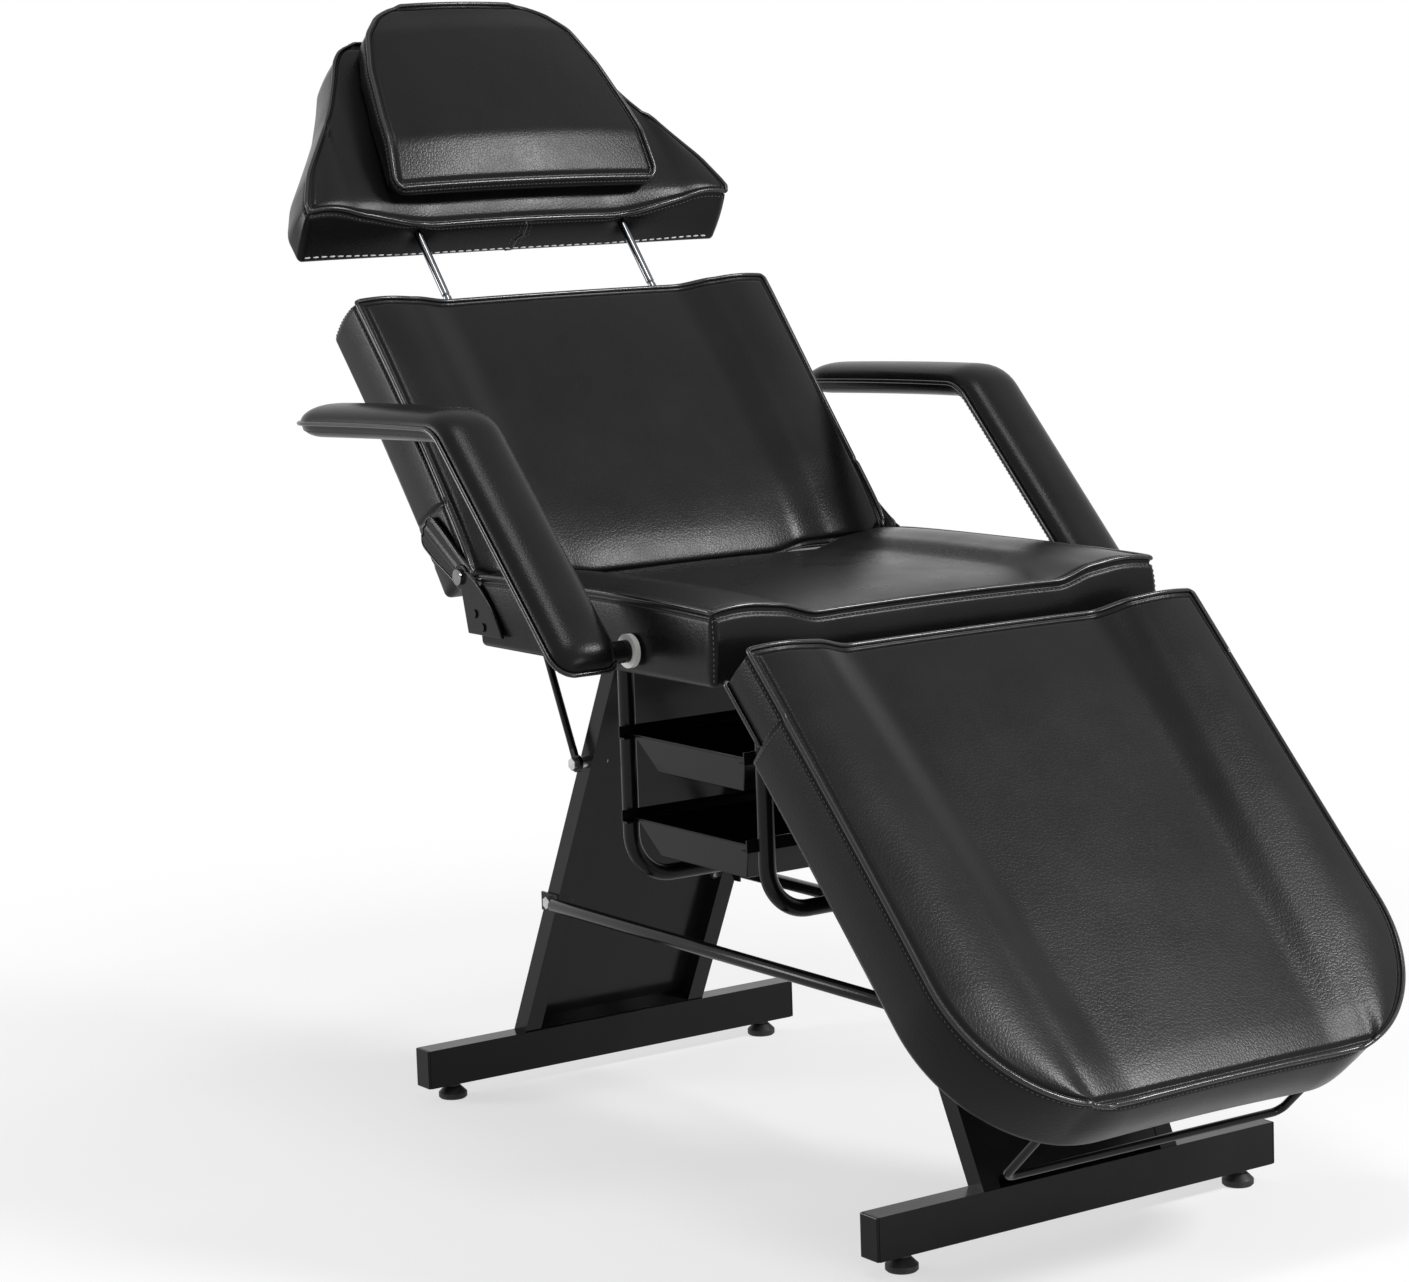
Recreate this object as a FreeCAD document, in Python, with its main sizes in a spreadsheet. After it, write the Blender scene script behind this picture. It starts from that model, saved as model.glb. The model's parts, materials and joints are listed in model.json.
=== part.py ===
# Treatment chair with a reclining back, folding leg rest, lifting armrests, sliding headrest and two trays.
# Lengths are millimetres. +Z is up, the head end is +Y, and left and right are the sitter's.
import FreeCAD, Part
import math
import os
import re
import Sketcher
from FreeCAD import Placement, Rotation, Vector

SIZES = {
    # floor bars and feet
    "bar_length": 535.0, "bar_height": 46.0, "bar_depth": 28.5, "bar_wall": 2.0, "bar_spacing": 869.0,
    "cap_thickness": 3.0, "cap_plug": 12.0, "floor_clearance": 18.4,
    "foot_spacing": 454.0, "foot_radius": 17.0, "foot_pad": 7.0, "foot_neck_radius": 9.0,
    "foot_neck": 8.0, "foot_chamfer": 1.75, "foot_stem_radius": 4.0, "foot_stem_length": 22.0,
    # leg frames
    "leg_half_width": 130.0, "upright_width": 22.0, "upright_depth": 25.0, "leg_top_reach": 200.0,
    "panel_thickness": 2.0, "panel_inset": 1.0, "panel_fold": 11.0, "panel_top_gap": 24.0,
    # tie bars
    "tie_height": 236.0, "tie_radius": 8.0, "tie_flat": 3.0, "tie_flat_width": 22.0, "tie_flat_length": 34.0,
    "bolt_radius": 4.0, "bolt_head_radius": 7.5, "bolt_head": 5.0, "bolt_end": 2.0,
    "nut_radius": 6.2, "nut_thickness": 4.0,
    # seat frame
    "frame_underside": 549.0, "rail_width": 22.0, "rail_height": 25.0, "rail_front": 225.0,
    "rail_rear": 212.0, "cross_half": 170.0, "cross_width": 25.0,
    # seat
    "seat_half": 299.5, "seat_front": 239.0, "seat_rear": 213.0, "seat_thickness": 86.0,
    "board_thickness": 12.0, "board_inset": 14.0,
    # shared cushion form
    "cushion_tuck": 3.0, "cushion_bulge": 4.0, "cushion_draw": 4.0, "cushion_crown": 5.0,
    "bolster_crown": 4.0, "channel_half": 168.0, "channel_slope": 34.0, "channel_drop": 12.0,
    "channel_crown": 2.0,
    # backrest
    "back_inset": 5.0, "back_length": 371.0, "back_thickness": 80.0, "back_angle": 51.0,
    "back_hinge_y": 240.0, "back_hinge_z": 650.0, "back_hinge_below": 9.0, "back_hinge_depth": 19.0,
    "plate_thickness": 4.0, "plate_gap": 0.8, "ear_radius": 14.0, "ear_length": 78.0, "ear_fix_radius": 16.0,
    "ear_lean": 20.0, "stud_radius": 6.0, "stud_head_radius": 9.0, "stud_head": 4.0, "running_fit": 0.05,
    "bracket_foot_y": 155.0, "bracket_arc": 62.0, "screw_radius": 5.0, "screw_head": 2.0,
    # headrest and posts
    "head_gap": 106.0, "head_half": 306.0, "head_length": 283.0, "head_thickness": 74.0, "head_bevel": 36.0,
    "neck_half": 150.0, "neck_drop": 8.0, "head_board_half": 120.0, "head_board_length": 170.0,
    "head_board_start": 60.0,
    "post_spacing": 294.0, "post_radius": 5.0, "post_depth": 37.0, "post_in_back": 72.0,
    "post_in_head": 95.0, "post_foot_width": 20.0, "post_foot_length": 40.0,
    "post_groove": 1.2, "post_groove_width": 4.0, "post_groove_height": 18.0,
    "socket_radius": 8.0, "socket_length": 150.0, "socket_lip": 2.0, "socket_block": 60.0,
    # pillow
    "pillow_start": 32.0, "pillow_length": 288.0, "pillow_half": 190.0, "pillow_thickness": 40.0,
    "pillow_crown": 9.0,
    # leg rest
    "leg_half": 300.0, "leg_length": 565.0, "leg_thickness": 85.0, "leg_angle": 46.8, "leg_corner": 160.0,
    "leg_hinge_y": 250.0, "leg_hinge_z": 575.0, "leg_hinge_depth": 73.0, "notch_length": 85.0,
    "notch_height": 23.0, "leg_board_margin": 16.0, "lug_thickness": 4.0, "lug_radius": 9.0,
    "lug_root": 55.0, "lug_height": 20.0, "lug_headroom": 1.5, "hinge_pin_radius": 5.0,
    "arm_strap": 12.0, "arm_strap_end": 80.0, "side_play": 1.0,
    # lift bar under the foot end
    "lift_half": 184.0, "lift_drop": 89.5, "lift_radius": 4.5, "lift_bend": 12.0, "lift_station": 25.0,
    "lift_flange": 3.0, "lift_flange_radius": 11.0,
    # struts
    "strut_reach": 12.5, "strut_neck": 18.5, "strut_seat": 2.0, "collar_radius": 7.0,
    "back_strut_y": 264.0, "back_strut_z": 415.0, "back_strut_along": 206.0, "back_strut_stand": 12.0,
    "strut_rod_radius": 4.5, "back_rod_length": 224.0, "back_tube_length": 236.0,
    "back_tube_bore": 7.4, "back_tube_radius": 9.2, "strut_eye_radius": 10.0, "strut_eye_thickness": 5.0,
    "strut_bracket": 4.0, "strut_bracket_half": 12.0,
    "leg_strut_along": 100.0, "leg_strut_stand": 38.0, "leg_strut_trim": 1.04, "leg_rod_length": 200.0,
    "leg_tube_length": 190.0, "leg_tube_bore": 9.8, "leg_tube_radius": 11.6,
    # armrests
    "arm_gap": 20.5, "arm_width": 80.0, "arm_seam_z": 828.0, "arm_rear": 470.0, "arm_elbow_y": 125.0,
    "arm_elbow_radius": 44.0, "arm_crown": 21.0, "arm_belly": 18.0, "arm_belly_tuck": 7.0,
    "arm_pivot_y": 95.0, "arm_pivot_z": 600.0, "arm_end": 20.0, "core_thickness": 6.0, "core_height": 22.0,
    "core_rear_margin": 70.0, "core_eye_radius": 14.0, "arm_tip": 14.0,
    "pivot_radius": 5.0, "sleeve_radius": 12.0, "washer_radius": 18.0, "washer_thickness": 6.0,
    "pivot_bracket_inset": 26.0, "pivot_bracket_half": 28.0, "pivot_bracket_height": 34.0,
    "pivot_bracket_gauge": 3.0, "pivot_bracket_flange": 18.0,
    # tray hoops, rails and trays
    "hoop_half": 159.0, "hoop_y": 130.0, "hoop_radius": 9.5, "hoop_bottom": 303.0, "hoop_bend": 52.0,
    "upper_rim": 471.0, "lower_rim": 376.0, "tray_half": 166.0, "tray_depth": 42.0, "tray_wall": 2.5,
    "tray_flange": 12.0, "tray_taper": 24.0, "tray_end_taper": 14.0, "tray_rim": 3.0, "rail_ledge": 11.0,
    "rail_gauge": 2.0, "rail_web": 14.0, "rail_overhang": 8.0, "slide_gap": 0.5, "tray_side_gap": 1.0,
    # clearances
    "fit_clearance": 0.3, "cut_overrun": 20.0,
}

SIDES = (("left", 1), ("right", -1))
ENDS = (("rear", 1), ("front", -1))

doc = FreeCAD.newDocument("treatment_chair")
sheet = doc.addObject("Spreadsheet::Sheet", "sizes")
for row, (alias, value) in enumerate(SIZES.items(), start=1):
    sheet.set(f"A{row}", alias)
    sheet.set(f"B{row}", str(value))
    sheet.setAlias(f"B{row}", alias)
doc.recompute()


class Cells:
    """Reads a driving dimension from the sheet as a number."""

    def __getattr__(self, alias):
        return float(sheet.get(alias))


dim = Cells()
nodes = {}
X_AXIS = Vector(1, 0, 0)
Y_AXIS = Vector(0, 1, 0)
Z_AXIS = Vector(0, 0, 1)


def ref(expression):
    """Turn names of cells in an expression into references to the sheet."""
    return re.sub(r"[a-z_]+\w*", lambda word: "sizes." + word[0] if word[0] in SIZES else word[0], expression)


def bind(obj, **expressions):
    """Bind properties of an object to expressions of cells."""
    for prop, expression in expressions.items():
        obj.setExpression(prop, ref(expression))
    return obj


def turn(axis, degrees):
    return Rotation(axis, degrees)


def keep(label, obj, placement=None):
    """Register an object as a sub-part under its label."""
    obj.Label = label
    if placement is not None:
        obj.Placement = placement
    nodes[label] = obj
    return obj


def block(size_x, size_y, size_z, corner, rotation=None):
    """A box bound to three expressions, its low corner placed at a point."""
    box = bind(doc.addObject("Part::Box", "block"), Length=size_x, Width=size_y, Height=size_z)
    box.Placement = Placement(corner, rotation or Rotation())
    return box


def rod(radius, length, base, axis):
    """A cylinder bound to two expressions, from a base point along an axis."""
    cylinder = bind(doc.addObject("Part::Cylinder", "rod"), Radius=radius, Height=length)
    cylinder.Placement = Placement(base, Rotation(Z_AXIS, axis))
    return cylinder


def fuse(*pieces):
    joined = doc.addObject("Part::MultiFuse", "joined")
    joined.Shapes = list(pieces)
    return joined


def cut(base, tool):
    trimmed = doc.addObject("Part::Cut", "trimmed")
    trimmed.Base = base
    trimmed.Tool = tool
    return trimmed


def group(*pieces):
    """Separate solids that share one node."""
    together = doc.addObject("Part::Compound", "group")
    together.Links = list(pieces)
    return together


def formed(shape):
    """A piece whose shape is worked out from the cells by a formula."""
    feature = doc.addObject("Part::Feature", "formed")
    feature.Shape = shape
    return feature


def plane_of(body, role):
    return next(plane for plane in body.Origin.OriginFeatures if plane.Role == role)


def new_sketch(body, role):
    sketch = body.newObject("Sketcher::SketchObject", "sketch")
    sketch.AttachmentSupport = [(plane_of(body, role), "")]
    sketch.MapMode = "FlatFace"
    return sketch


def bound(sketch, constraint, expression):
    """Add a dimension to a sketch and bind it to an expression of cells."""
    index = sketch.addConstraint(constraint)
    sketch.setExpression(f"Constraints[{index}]", ref(expression))


def number(expression):
    """The value of an expression of cells."""
    return float(sheet.evalExpression(ref(expression)))


def polygon(sketch, corners):
    """A closed outline whose corners are pairs of expressions, each held by two dimensions."""
    points = [Vector(number(x), number(y), 0) for x, y in corners]
    count = len(points)
    for index in range(count):
        sketch.addGeometry(Part.LineSegment(points[index], points[(index + 1) % count]), False)
    for index in range(count):
        sketch.addConstraint(Sketcher.Constraint("Coincident", index, 2, (index + 1) % count, 1))
    for index, (x, y) in enumerate(corners):
        bound(sketch, Sketcher.Constraint("DistanceX", index, 1, points[index].x), x)
        bound(sketch, Sketcher.Constraint("DistanceY", index, 1, points[index].y), y)


def prism(role, corners, length, centred=True):
    """A body: an outline on one of its planes, padded to a bound length."""
    body = doc.addObject("PartDesign::Body", "body")
    sketch = new_sketch(body, role)
    polygon(sketch, corners)
    pad = body.newObject("PartDesign::Pad", "pad")
    pad.Profile = sketch
    bind(pad, Length=length)
    if centred:
        pad.SideType = "Symmetric"
    return body


def link(radius, far_radius, length, thickness, hole, far_hole=None):
    """A flat link in its own XY plane: two round ends joined by tangents, with a hole at each named end."""
    body = doc.addObject("PartDesign::Body", "link")
    sketch = new_sketch(body, "XY_Plane")
    near, far, span = number(radius), number(far_radius), number(length)
    lean = math.asin((near - far) / span)
    normal = Vector(math.sin(lean), math.cos(lean), 0)
    mirror = Vector(math.sin(lean), -math.cos(lean), 0)
    end = Vector(span, 0, 0)
    top, bottom = math.pi / 2 - lean, 3 * math.pi / 2 + lean
    sketch.addGeometry(Part.ArcOfCircle(Part.Circle(Vector(), Z_AXIS, near), top, bottom), False)
    sketch.addGeometry(Part.LineSegment(mirror * near, end + mirror * far), False)
    sketch.addGeometry(Part.ArcOfCircle(Part.Circle(end, Z_AXIS, far), bottom - 2 * math.pi, top), False)
    sketch.addGeometry(Part.LineSegment(end + normal * far, normal * near), False)
    sketch.addConstraint(Sketcher.Constraint("Coincident", 0, 3, -1, 1))
    sketch.addConstraint(Sketcher.Constraint("PointOnObject", 2, 3, -1))
    for first, first_end, second, second_end in ((0, 2, 1, 1), (1, 2, 2, 1), (2, 2, 3, 1), (3, 2, 0, 1)):
        sketch.addConstraint(Sketcher.Constraint("Tangent", first, first_end, second, second_end))
    bound(sketch, Sketcher.Constraint("DistanceX", 2, 3, span), length)
    bound(sketch, Sketcher.Constraint("Radius", 0, near), radius)
    bound(sketch, Sketcher.Constraint("Radius", 2, far), far_radius)
    holes = [(Vector(), hole, "0")] + ([(end, far_hole, length)] if far_hole else [])
    for centre, size, place in holes:
        index = sketch.addGeometry(Part.Circle(centre, Z_AXIS, number(size)), False)
        sketch.addConstraint(Sketcher.Constraint("PointOnObject", index, 3, -1))
        bound(sketch, Sketcher.Constraint("Radius", index, number(size)), size)
        bound(sketch, Sketcher.Constraint("DistanceX", index, 3, centre.x), place)
    pad = body.newObject("PartDesign::Pad", "pad")
    pad.Profile = sketch
    bind(pad, Length=thickness)
    pad.SideType = "Symmetric"
    return body


def turned(profile):
    """A body turned about its own Z axis from an outline of radius and height expressions."""
    body = doc.addObject("PartDesign::Body", "turned")
    sketch = new_sketch(body, "XZ_Plane")
    polygon(sketch, profile)
    spin = body.newObject("PartDesign::Revolution", "spin")
    spin.Profile = sketch
    spin.ReferenceAxis = (sketch, ["V_Axis"])
    spin.Angle = 360
    return body


def side_plane(x, y, z, degrees):
    """Placement of a link: its length in the side plane, turned up from +Y, its thickness across."""
    across = Rotation(Vector(0, 1, 0), Vector(0, 0, 1), Vector(1, 0, 0), "ZXY")
    return Placement(Vector(x, y, z), turn(X_AXIS, degrees) * across)


def tube_along(half, drop, bend, radius):
    """A U of round rod: legs up +Z at both sides, one run across X, bent to a radius at the corners."""
    body = doc.addObject("PartDesign::Body", "bent_rod")
    path = new_sketch(body, "XZ_Plane")
    span, depth, curve = number(half), number(drop), number(bend)
    corners = ((-span + curve, -depth + curve), (span - curve, -depth + curve))
    path.addGeometry(Part.LineSegment(Vector(-span, 0, 0), Vector(-span, -depth + curve, 0)), False)
    first_bend = Part.Circle(Vector(*corners[0], 0), Z_AXIS, curve)
    second_bend = Part.Circle(Vector(*corners[1], 0), Z_AXIS, curve)
    path.addGeometry(Part.ArcOfCircle(first_bend, math.pi, 3 * math.pi / 2), False)
    path.addGeometry(Part.LineSegment(Vector(-span + curve, -depth, 0), Vector(span - curve, -depth, 0)), False)
    path.addGeometry(Part.ArcOfCircle(second_bend, 3 * math.pi / 2, 2 * math.pi), False)
    path.addGeometry(Part.LineSegment(Vector(span, -depth + curve, 0), Vector(span, 0, 0)), False)
    for first, first_end, second, second_end in ((0, 2, 1, 1), (1, 2, 2, 1), (2, 2, 3, 1), (3, 2, 4, 1)):
        path.addConstraint(Sketcher.Constraint("Tangent", first, first_end, second, second_end))
    path.addConstraint(Sketcher.Constraint("Vertical", 0))
    path.addConstraint(Sketcher.Constraint("Vertical", 4))
    path.addConstraint(Sketcher.Constraint("PointOnObject", 0, 1, -1))
    path.addConstraint(Sketcher.Constraint("PointOnObject", 4, 2, -1))
    bound(path, Sketcher.Constraint("DistanceX", 0, 1, -span), f"-({half})")
    bound(path, Sketcher.Constraint("DistanceX", 4, 2, span), half)
    bound(path, Sketcher.Constraint("DistanceY", 2, 1, -depth), f"-({drop})")
    bound(path, Sketcher.Constraint("Radius", 1, curve), bend)
    bound(path, Sketcher.Constraint("Radius", 3, curve), bend)
    ring = new_sketch(body, "XY_Plane")
    ring.addGeometry(Part.Circle(Vector(-span, 0, 0), Z_AXIS, number(radius)), False)
    ring.addConstraint(Sketcher.Constraint("PointOnObject", 0, 3, -1))
    bound(ring, Sketcher.Constraint("DistanceX", 0, 3, -span), f"-({half})")
    bound(ring, Sketcher.Constraint("Radius", 0, number(radius)), radius)
    pipe = body.newObject("PartDesign::AdditivePipe", "pipe")
    pipe.Profile = ring
    pipe.Spine = path
    return body


def section(station, lean, half, top, crease, inner, floor):
    """Cushion section across X: flat base, swollen sides, two crowned bolsters and a dished channel."""
    base = half - dim.cushion_tuck
    middle = (half + inner) / 2

    def at(x, z):
        return Vector(x, station + lean * z, z)

    right = (at(base, 0), at(half + dim.cushion_bulge, top / 2), at(half, top),
             at(middle, top + dim.bolster_crown), at(inner, top), at(crease, floor))
    left = [Vector(-point.x, point.y, point.z) for point in right]
    return Part.Wire([
        Part.LineSegment(left[0], right[0]).toShape(),
        Part.Arc(right[0], right[1], right[2]).toShape(),
        Part.Arc(right[2], right[3], right[4]).toShape(),
        Part.LineSegment(right[4], right[5]).toShape(),
        Part.Arc(right[5], at(0, floor + dim.channel_crown), left[5]).toShape(),
        Part.LineSegment(left[5], left[4]).toShape(),
        Part.Arc(left[4], left[3], left[2]).toShape(),
        Part.Arc(left[2], left[1], left[0]).toShape(),
    ])


def cushion(stations, width, channel, drop):
    """Loft a cushion; each station gives place, lean, half width, edge height and a share of the channel."""
    crease_share = channel / width
    inner_share = (channel + dim.channel_slope) / width
    wires = []
    for place, lean, half, top, depth_share in stations:
        wires.append(section(place, lean, half, top, crease_share * half, inner_share * half,
                             top - drop * depth_share))
    return Part.makeLoft(wires, True, True)


def solid_box(low, high):
    size = high - low
    return Part.makeBox(size.x, size.y, size.z, low)


# Places that several pieces share
bar_top = dim.floor_clearance + dim.bar_height
seat_base = dim.frame_underside + dim.rail_height
leg_lean = (dim.bar_spacing / 2 - dim.leg_top_reach) / (dim.frame_underside - bar_top)
outer_face = dim.leg_half_width
rail_middle = dim.leg_half_width - dim.rail_width / 2
back_half = dim.seat_half - dim.back_inset
back_turn = turn(X_AXIS, dim.back_angle)
leg_turn = turn(X_AXIS, dim.leg_angle)
back_hinge = Vector(0, dim.back_hinge_y, dim.back_hinge_z)
leg_hinge = Vector(0, -dim.leg_hinge_y, dim.leg_hinge_z)
back_origin = back_hinge - back_turn.multVec(
    Vector(0, -dim.back_hinge_below, dim.back_thickness - dim.back_hinge_depth))
leg_origin = leg_hinge - leg_turn.multVec(Vector(0, dim.leg_length, dim.leg_thickness - dim.leg_hinge_depth))
BACK = Placement(back_origin, back_turn)
LEG = Placement(leg_origin, leg_turn)
HEAD = BACK * Placement(
    Vector(0, dim.back_length + dim.head_gap, dim.back_thickness - dim.head_thickness), Rotation())


def upright_y(height):
    """Distance of an upright's middle from the chair's middle at a height."""
    return dim.bar_spacing / 2 - leg_lean * (height - bar_top)


# Floor bars, end caps and levelling feet
def make_floor_bar(label, sign):
    """Rectangular tube with a hole near each end for a foot's stem."""
    length = "bar_length - 2 * cap_thickness"
    half = dim.bar_length / 2 - dim.cap_thickness
    low = Vector(-half, -dim.bar_depth / 2, 0)
    tube = cut(
        block(length, "bar_depth", "bar_height", low),
        block(length, "bar_depth - 2 * bar_wall", "bar_height - 2 * bar_wall",
              low + Vector(0, dim.bar_wall, dim.bar_wall)))
    for _, side in SIDES:
        hole = rod("foot_stem_radius + running_fit", "2 * bar_wall",
                   Vector(side * dim.foot_spacing / 2, 0, -dim.bar_wall / 2), Z_AXIS)
        tube = cut(tube, hole)
    keep(label, tube, Placement(Vector(0, sign * dim.bar_spacing / 2, dim.floor_clearance), Rotation()))


def make_end_caps():
    """Moulded caps: a cover over the tube's end and a plug inside it."""
    caps = []
    for _, end in ENDS:
        for _, side in SIDES:
            place = Vector(side * (dim.bar_length - dim.cap_thickness) / 2, end * dim.bar_spacing / 2,
                           dim.floor_clearance)
            cover = block("cap_thickness", "bar_depth", "bar_height",
                          place - Vector(dim.cap_thickness / 2, dim.bar_depth / 2, 0))
            shift = Vector(-side * (dim.cap_thickness + dim.cap_plug) / 2, 0, dim.bar_wall + dim.fit_clearance)
            plug = block("cap_plug", "bar_depth - 2 * (bar_wall + fit_clearance)",
                         "bar_height - 2 * (bar_wall + fit_clearance)",
                         place + shift - Vector(dim.cap_plug / 2,
                                                dim.bar_depth / 2 - dim.bar_wall - dim.fit_clearance, 0))
            caps.append(fuse(cover, plug))
    keep("floor_bar_end_caps", group(*caps))


def make_feet():
    """Four turned levelling feet whose stems screw into the bars."""
    profile = [
        ("0", "0"), ("foot_radius - foot_chamfer", "0"), ("foot_radius", "foot_chamfer"),
        ("foot_radius", "foot_pad"), ("foot_neck_radius", "foot_pad + foot_neck"),
        ("foot_neck_radius", "floor_clearance - fit_clearance"),
        ("foot_stem_radius", "floor_clearance - fit_clearance"),
        ("foot_stem_radius", "floor_clearance + foot_stem_length"),
        ("0", "floor_clearance + foot_stem_length"),
    ]
    for end_name, end in ENDS:
        for side_name, side in SIDES:
            place = Vector(side * dim.foot_spacing / 2, end * dim.bar_spacing / 2, 0)
            keep(f"{end_name}_{side_name}_foot", turned(profile), Placement(place, Rotation()))


# Leg frames: two leaning uprights, a sheet between them folded forward at its foot, a cross tube on top
def make_leg_frame(label, sign, holes):
    """Welded frame; each hole gives the place and height of a bolt through both uprights."""
    lean = "(bar_spacing / 2 - leg_top_reach) / (frame_underside - floor_clearance - bar_height)"
    low = "(floor_clearance + bar_height)"
    high = "frame_underside"

    def along(height, shift):
        """Place of a leaning line at a height, shifted from the uprights' middle line."""
        return f"{sign} * (bar_spacing / 2 - {lean} * ({height} - {low}) + {shift})"

    def strip(offset, depth, bottom, top):
        """Corners of a leaning strip: offset from the uprights' middle line, depth, two heights."""
        return [
            (along(bottom, f"({offset}) - ({depth}) / 2"), bottom),
            (along(bottom, f"({offset}) + ({depth}) / 2"), bottom),
            (along(top, f"({offset}) + ({depth}) / 2"), top),
            (along(top, f"({offset}) - ({depth}) / 2"), top),
        ]

    pieces = []
    for _, side in SIDES:
        upright = prism("YZ_Plane", strip("0", "upright_depth", low, high), "upright_width")
        upright.Placement.Base = Vector(side * (dim.leg_half_width - dim.upright_width / 2), 0, 0)
        pieces.append(upright)
    inside = "2 * (leg_half_width - upright_width)"
    sheet_place = "upright_depth / 2 - panel_inset - panel_thickness / 2"
    pieces.append(prism("YZ_Plane", strip(sheet_place, "panel_thickness", f"{low} + panel_fold",
                                          f"{high} - panel_top_gap"), inside))
    front = "panel_inset - upright_depth / 2"
    rear = "upright_depth / 2 - panel_inset"
    pieces.append(prism("YZ_Plane", [
        (along(low, front), low), (along(f"{low} + panel_fold", rear), f"{low} + panel_fold"),
        (along(f"{low} + panel_fold + panel_thickness", rear), f"{low} + panel_fold + panel_thickness"),
        (along(f"{low} + panel_thickness", front), f"{low} + panel_thickness")], inside))
    pieces.append(prism("YZ_Plane", strip("0", "upright_depth - 2 * panel_inset",
                                          f"{high} - panel_top_gap", high), inside))
    welded = fuse(*pieces)
    for y, z in holes:
        welded = cut(welded, rod("bolt_radius + running_fit", "2 * leg_half_width + cut_overrun",
                                 Vector(-dim.leg_half_width - dim.cut_overrun / 2, y, z), X_AXIS))
    keep(label, welded)


# Tie bars between the leg frames
def make_tie_bar(label, side):
    """Round tube with flattened ends that lie on the uprights' outer faces."""
    reach = upright_y(dim.tie_height)
    face = side * outer_face
    middle = face + side * dim.tie_radius
    start = dim.tie_flat_length / 2
    tube = rod("tie_radius", f"{2 * (reach - start)}", Vector(middle, start - reach, dim.tie_height), Y_AXIS)
    ends = []
    for sign in (1, -1):
        low = Vector(face if side > 0 else face - dim.tie_flat, sign * reach - start,
                     dim.tie_height - dim.tie_flat_width / 2)
        flat = block("tie_flat", "tie_flat_length", "tie_flat_width", low)
        hole = rod("bolt_radius + running_fit", "tie_flat + cut_overrun",
                   Vector(face - side * dim.cut_overrun / 2, sign * reach, dim.tie_height), X_AXIS * side)
        ends.append(cut(flat, hole))
    keep(label, fuse(tube, *ends))


def hexagon(radius, height, base, axis):
    """A hexagonal prism bound to two expressions, from a base point along an axis."""
    head = bind(doc.addObject("Part::Prism", "hexagon"), Circumradius=radius, Height=height)
    head.Polygon = 6
    head.Placement = Placement(base, Rotation(Z_AXIS, axis))
    return head


def hex_bolt(face, grip, side, y, z, collar=None):
    """Bolt: head on a face, shank through its grip and an upright to a nut, a collar beside the upright."""
    inwards = X_AXIS * -side
    inside = Vector(side * (outer_face - dim.upright_width), y, z)
    pieces = [
        hexagon("bolt_head_radius", "bolt_head", Vector(face, y, z), X_AXIS * side),
        rod("bolt_radius", f"{grip} + upright_width + nut_thickness + bolt_end", Vector(face, y, z), inwards),
        hexagon("nut_radius", "nut_thickness", inside, inwards),
    ]
    if collar is not None:
        start = outer_face + dim.strut_reach - dim.strut_eye_thickness / 2 - dim.fit_clearance
        pieces.append(rod("collar_radius", collar, Vector(side * start, y, z), inwards))
    return fuse(*pieces)


def make_bolts():
    """Bolts through the uprights: four hold the tie bars, and two of these and two above hold strut eyes."""
    plain = outer_face + dim.tie_flat
    eye_face = outer_face + dim.strut_reach + dim.strut_eye_thickness / 2 + dim.fit_clearance
    through = "strut_reach + strut_eye_thickness / 2 + fit_clearance"
    spacer = "strut_reach - strut_eye_thickness / 2 - fit_clearance"
    reach = upright_y(dim.tie_height)
    shanks, anchors = [], []
    for _, side in SIDES:
        shanks.append(hex_bolt(side * plain, "tie_flat", side, reach, dim.tie_height))
        shanks.append(hex_bolt(side * eye_face, through, side, -reach, dim.tie_height,
                               f"{spacer} - tie_flat"))
        anchors.append(hex_bolt(side * eye_face, through, side, dim.back_strut_y, dim.back_strut_z, spacer))
    keep("tie_bar_bolts", group(*shanks))
    keep("back_strut_bolts", group(*anchors))


# Seat frame, board and cushion
def make_seat_frame():
    """Welded ladder of two rails and two cross tubes under the seat board."""
    pieces = []
    for _, side in SIDES:
        low = Vector(side * rail_middle - dim.rail_width / 2, -dim.rail_front, dim.frame_underside)
        pieces.append(block("rail_width", "rail_front + rail_rear", "rail_height", low))
    for _, sign in ENDS:
        low = Vector(-dim.cross_half, sign * dim.hoop_y - dim.cross_width / 2, dim.frame_underside)
        pieces.append(block("2 * cross_half", "cross_width", "rail_height", low))
    keep("seat_frame", fuse(*pieces))


pad_shares = ((0, 0, 0), (0.04, 0.3, 0.5), (0.3, 1, 1), (0.7, 1, 1), (0.96, 0.3, 0.5), (1, 0, 0))


def straight_stations(length, half, thickness):
    """Stations of a straight cushion: sides drawn in and top crowned between the ends."""
    stations = []
    for along_share, draw_share, rise_share in pad_shares:
        stations.append((length * along_share, 0, half - dim.cushion_draw * draw_share,
                         thickness - dim.cushion_crown * (1 - rise_share), 1))
    return stations


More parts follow.
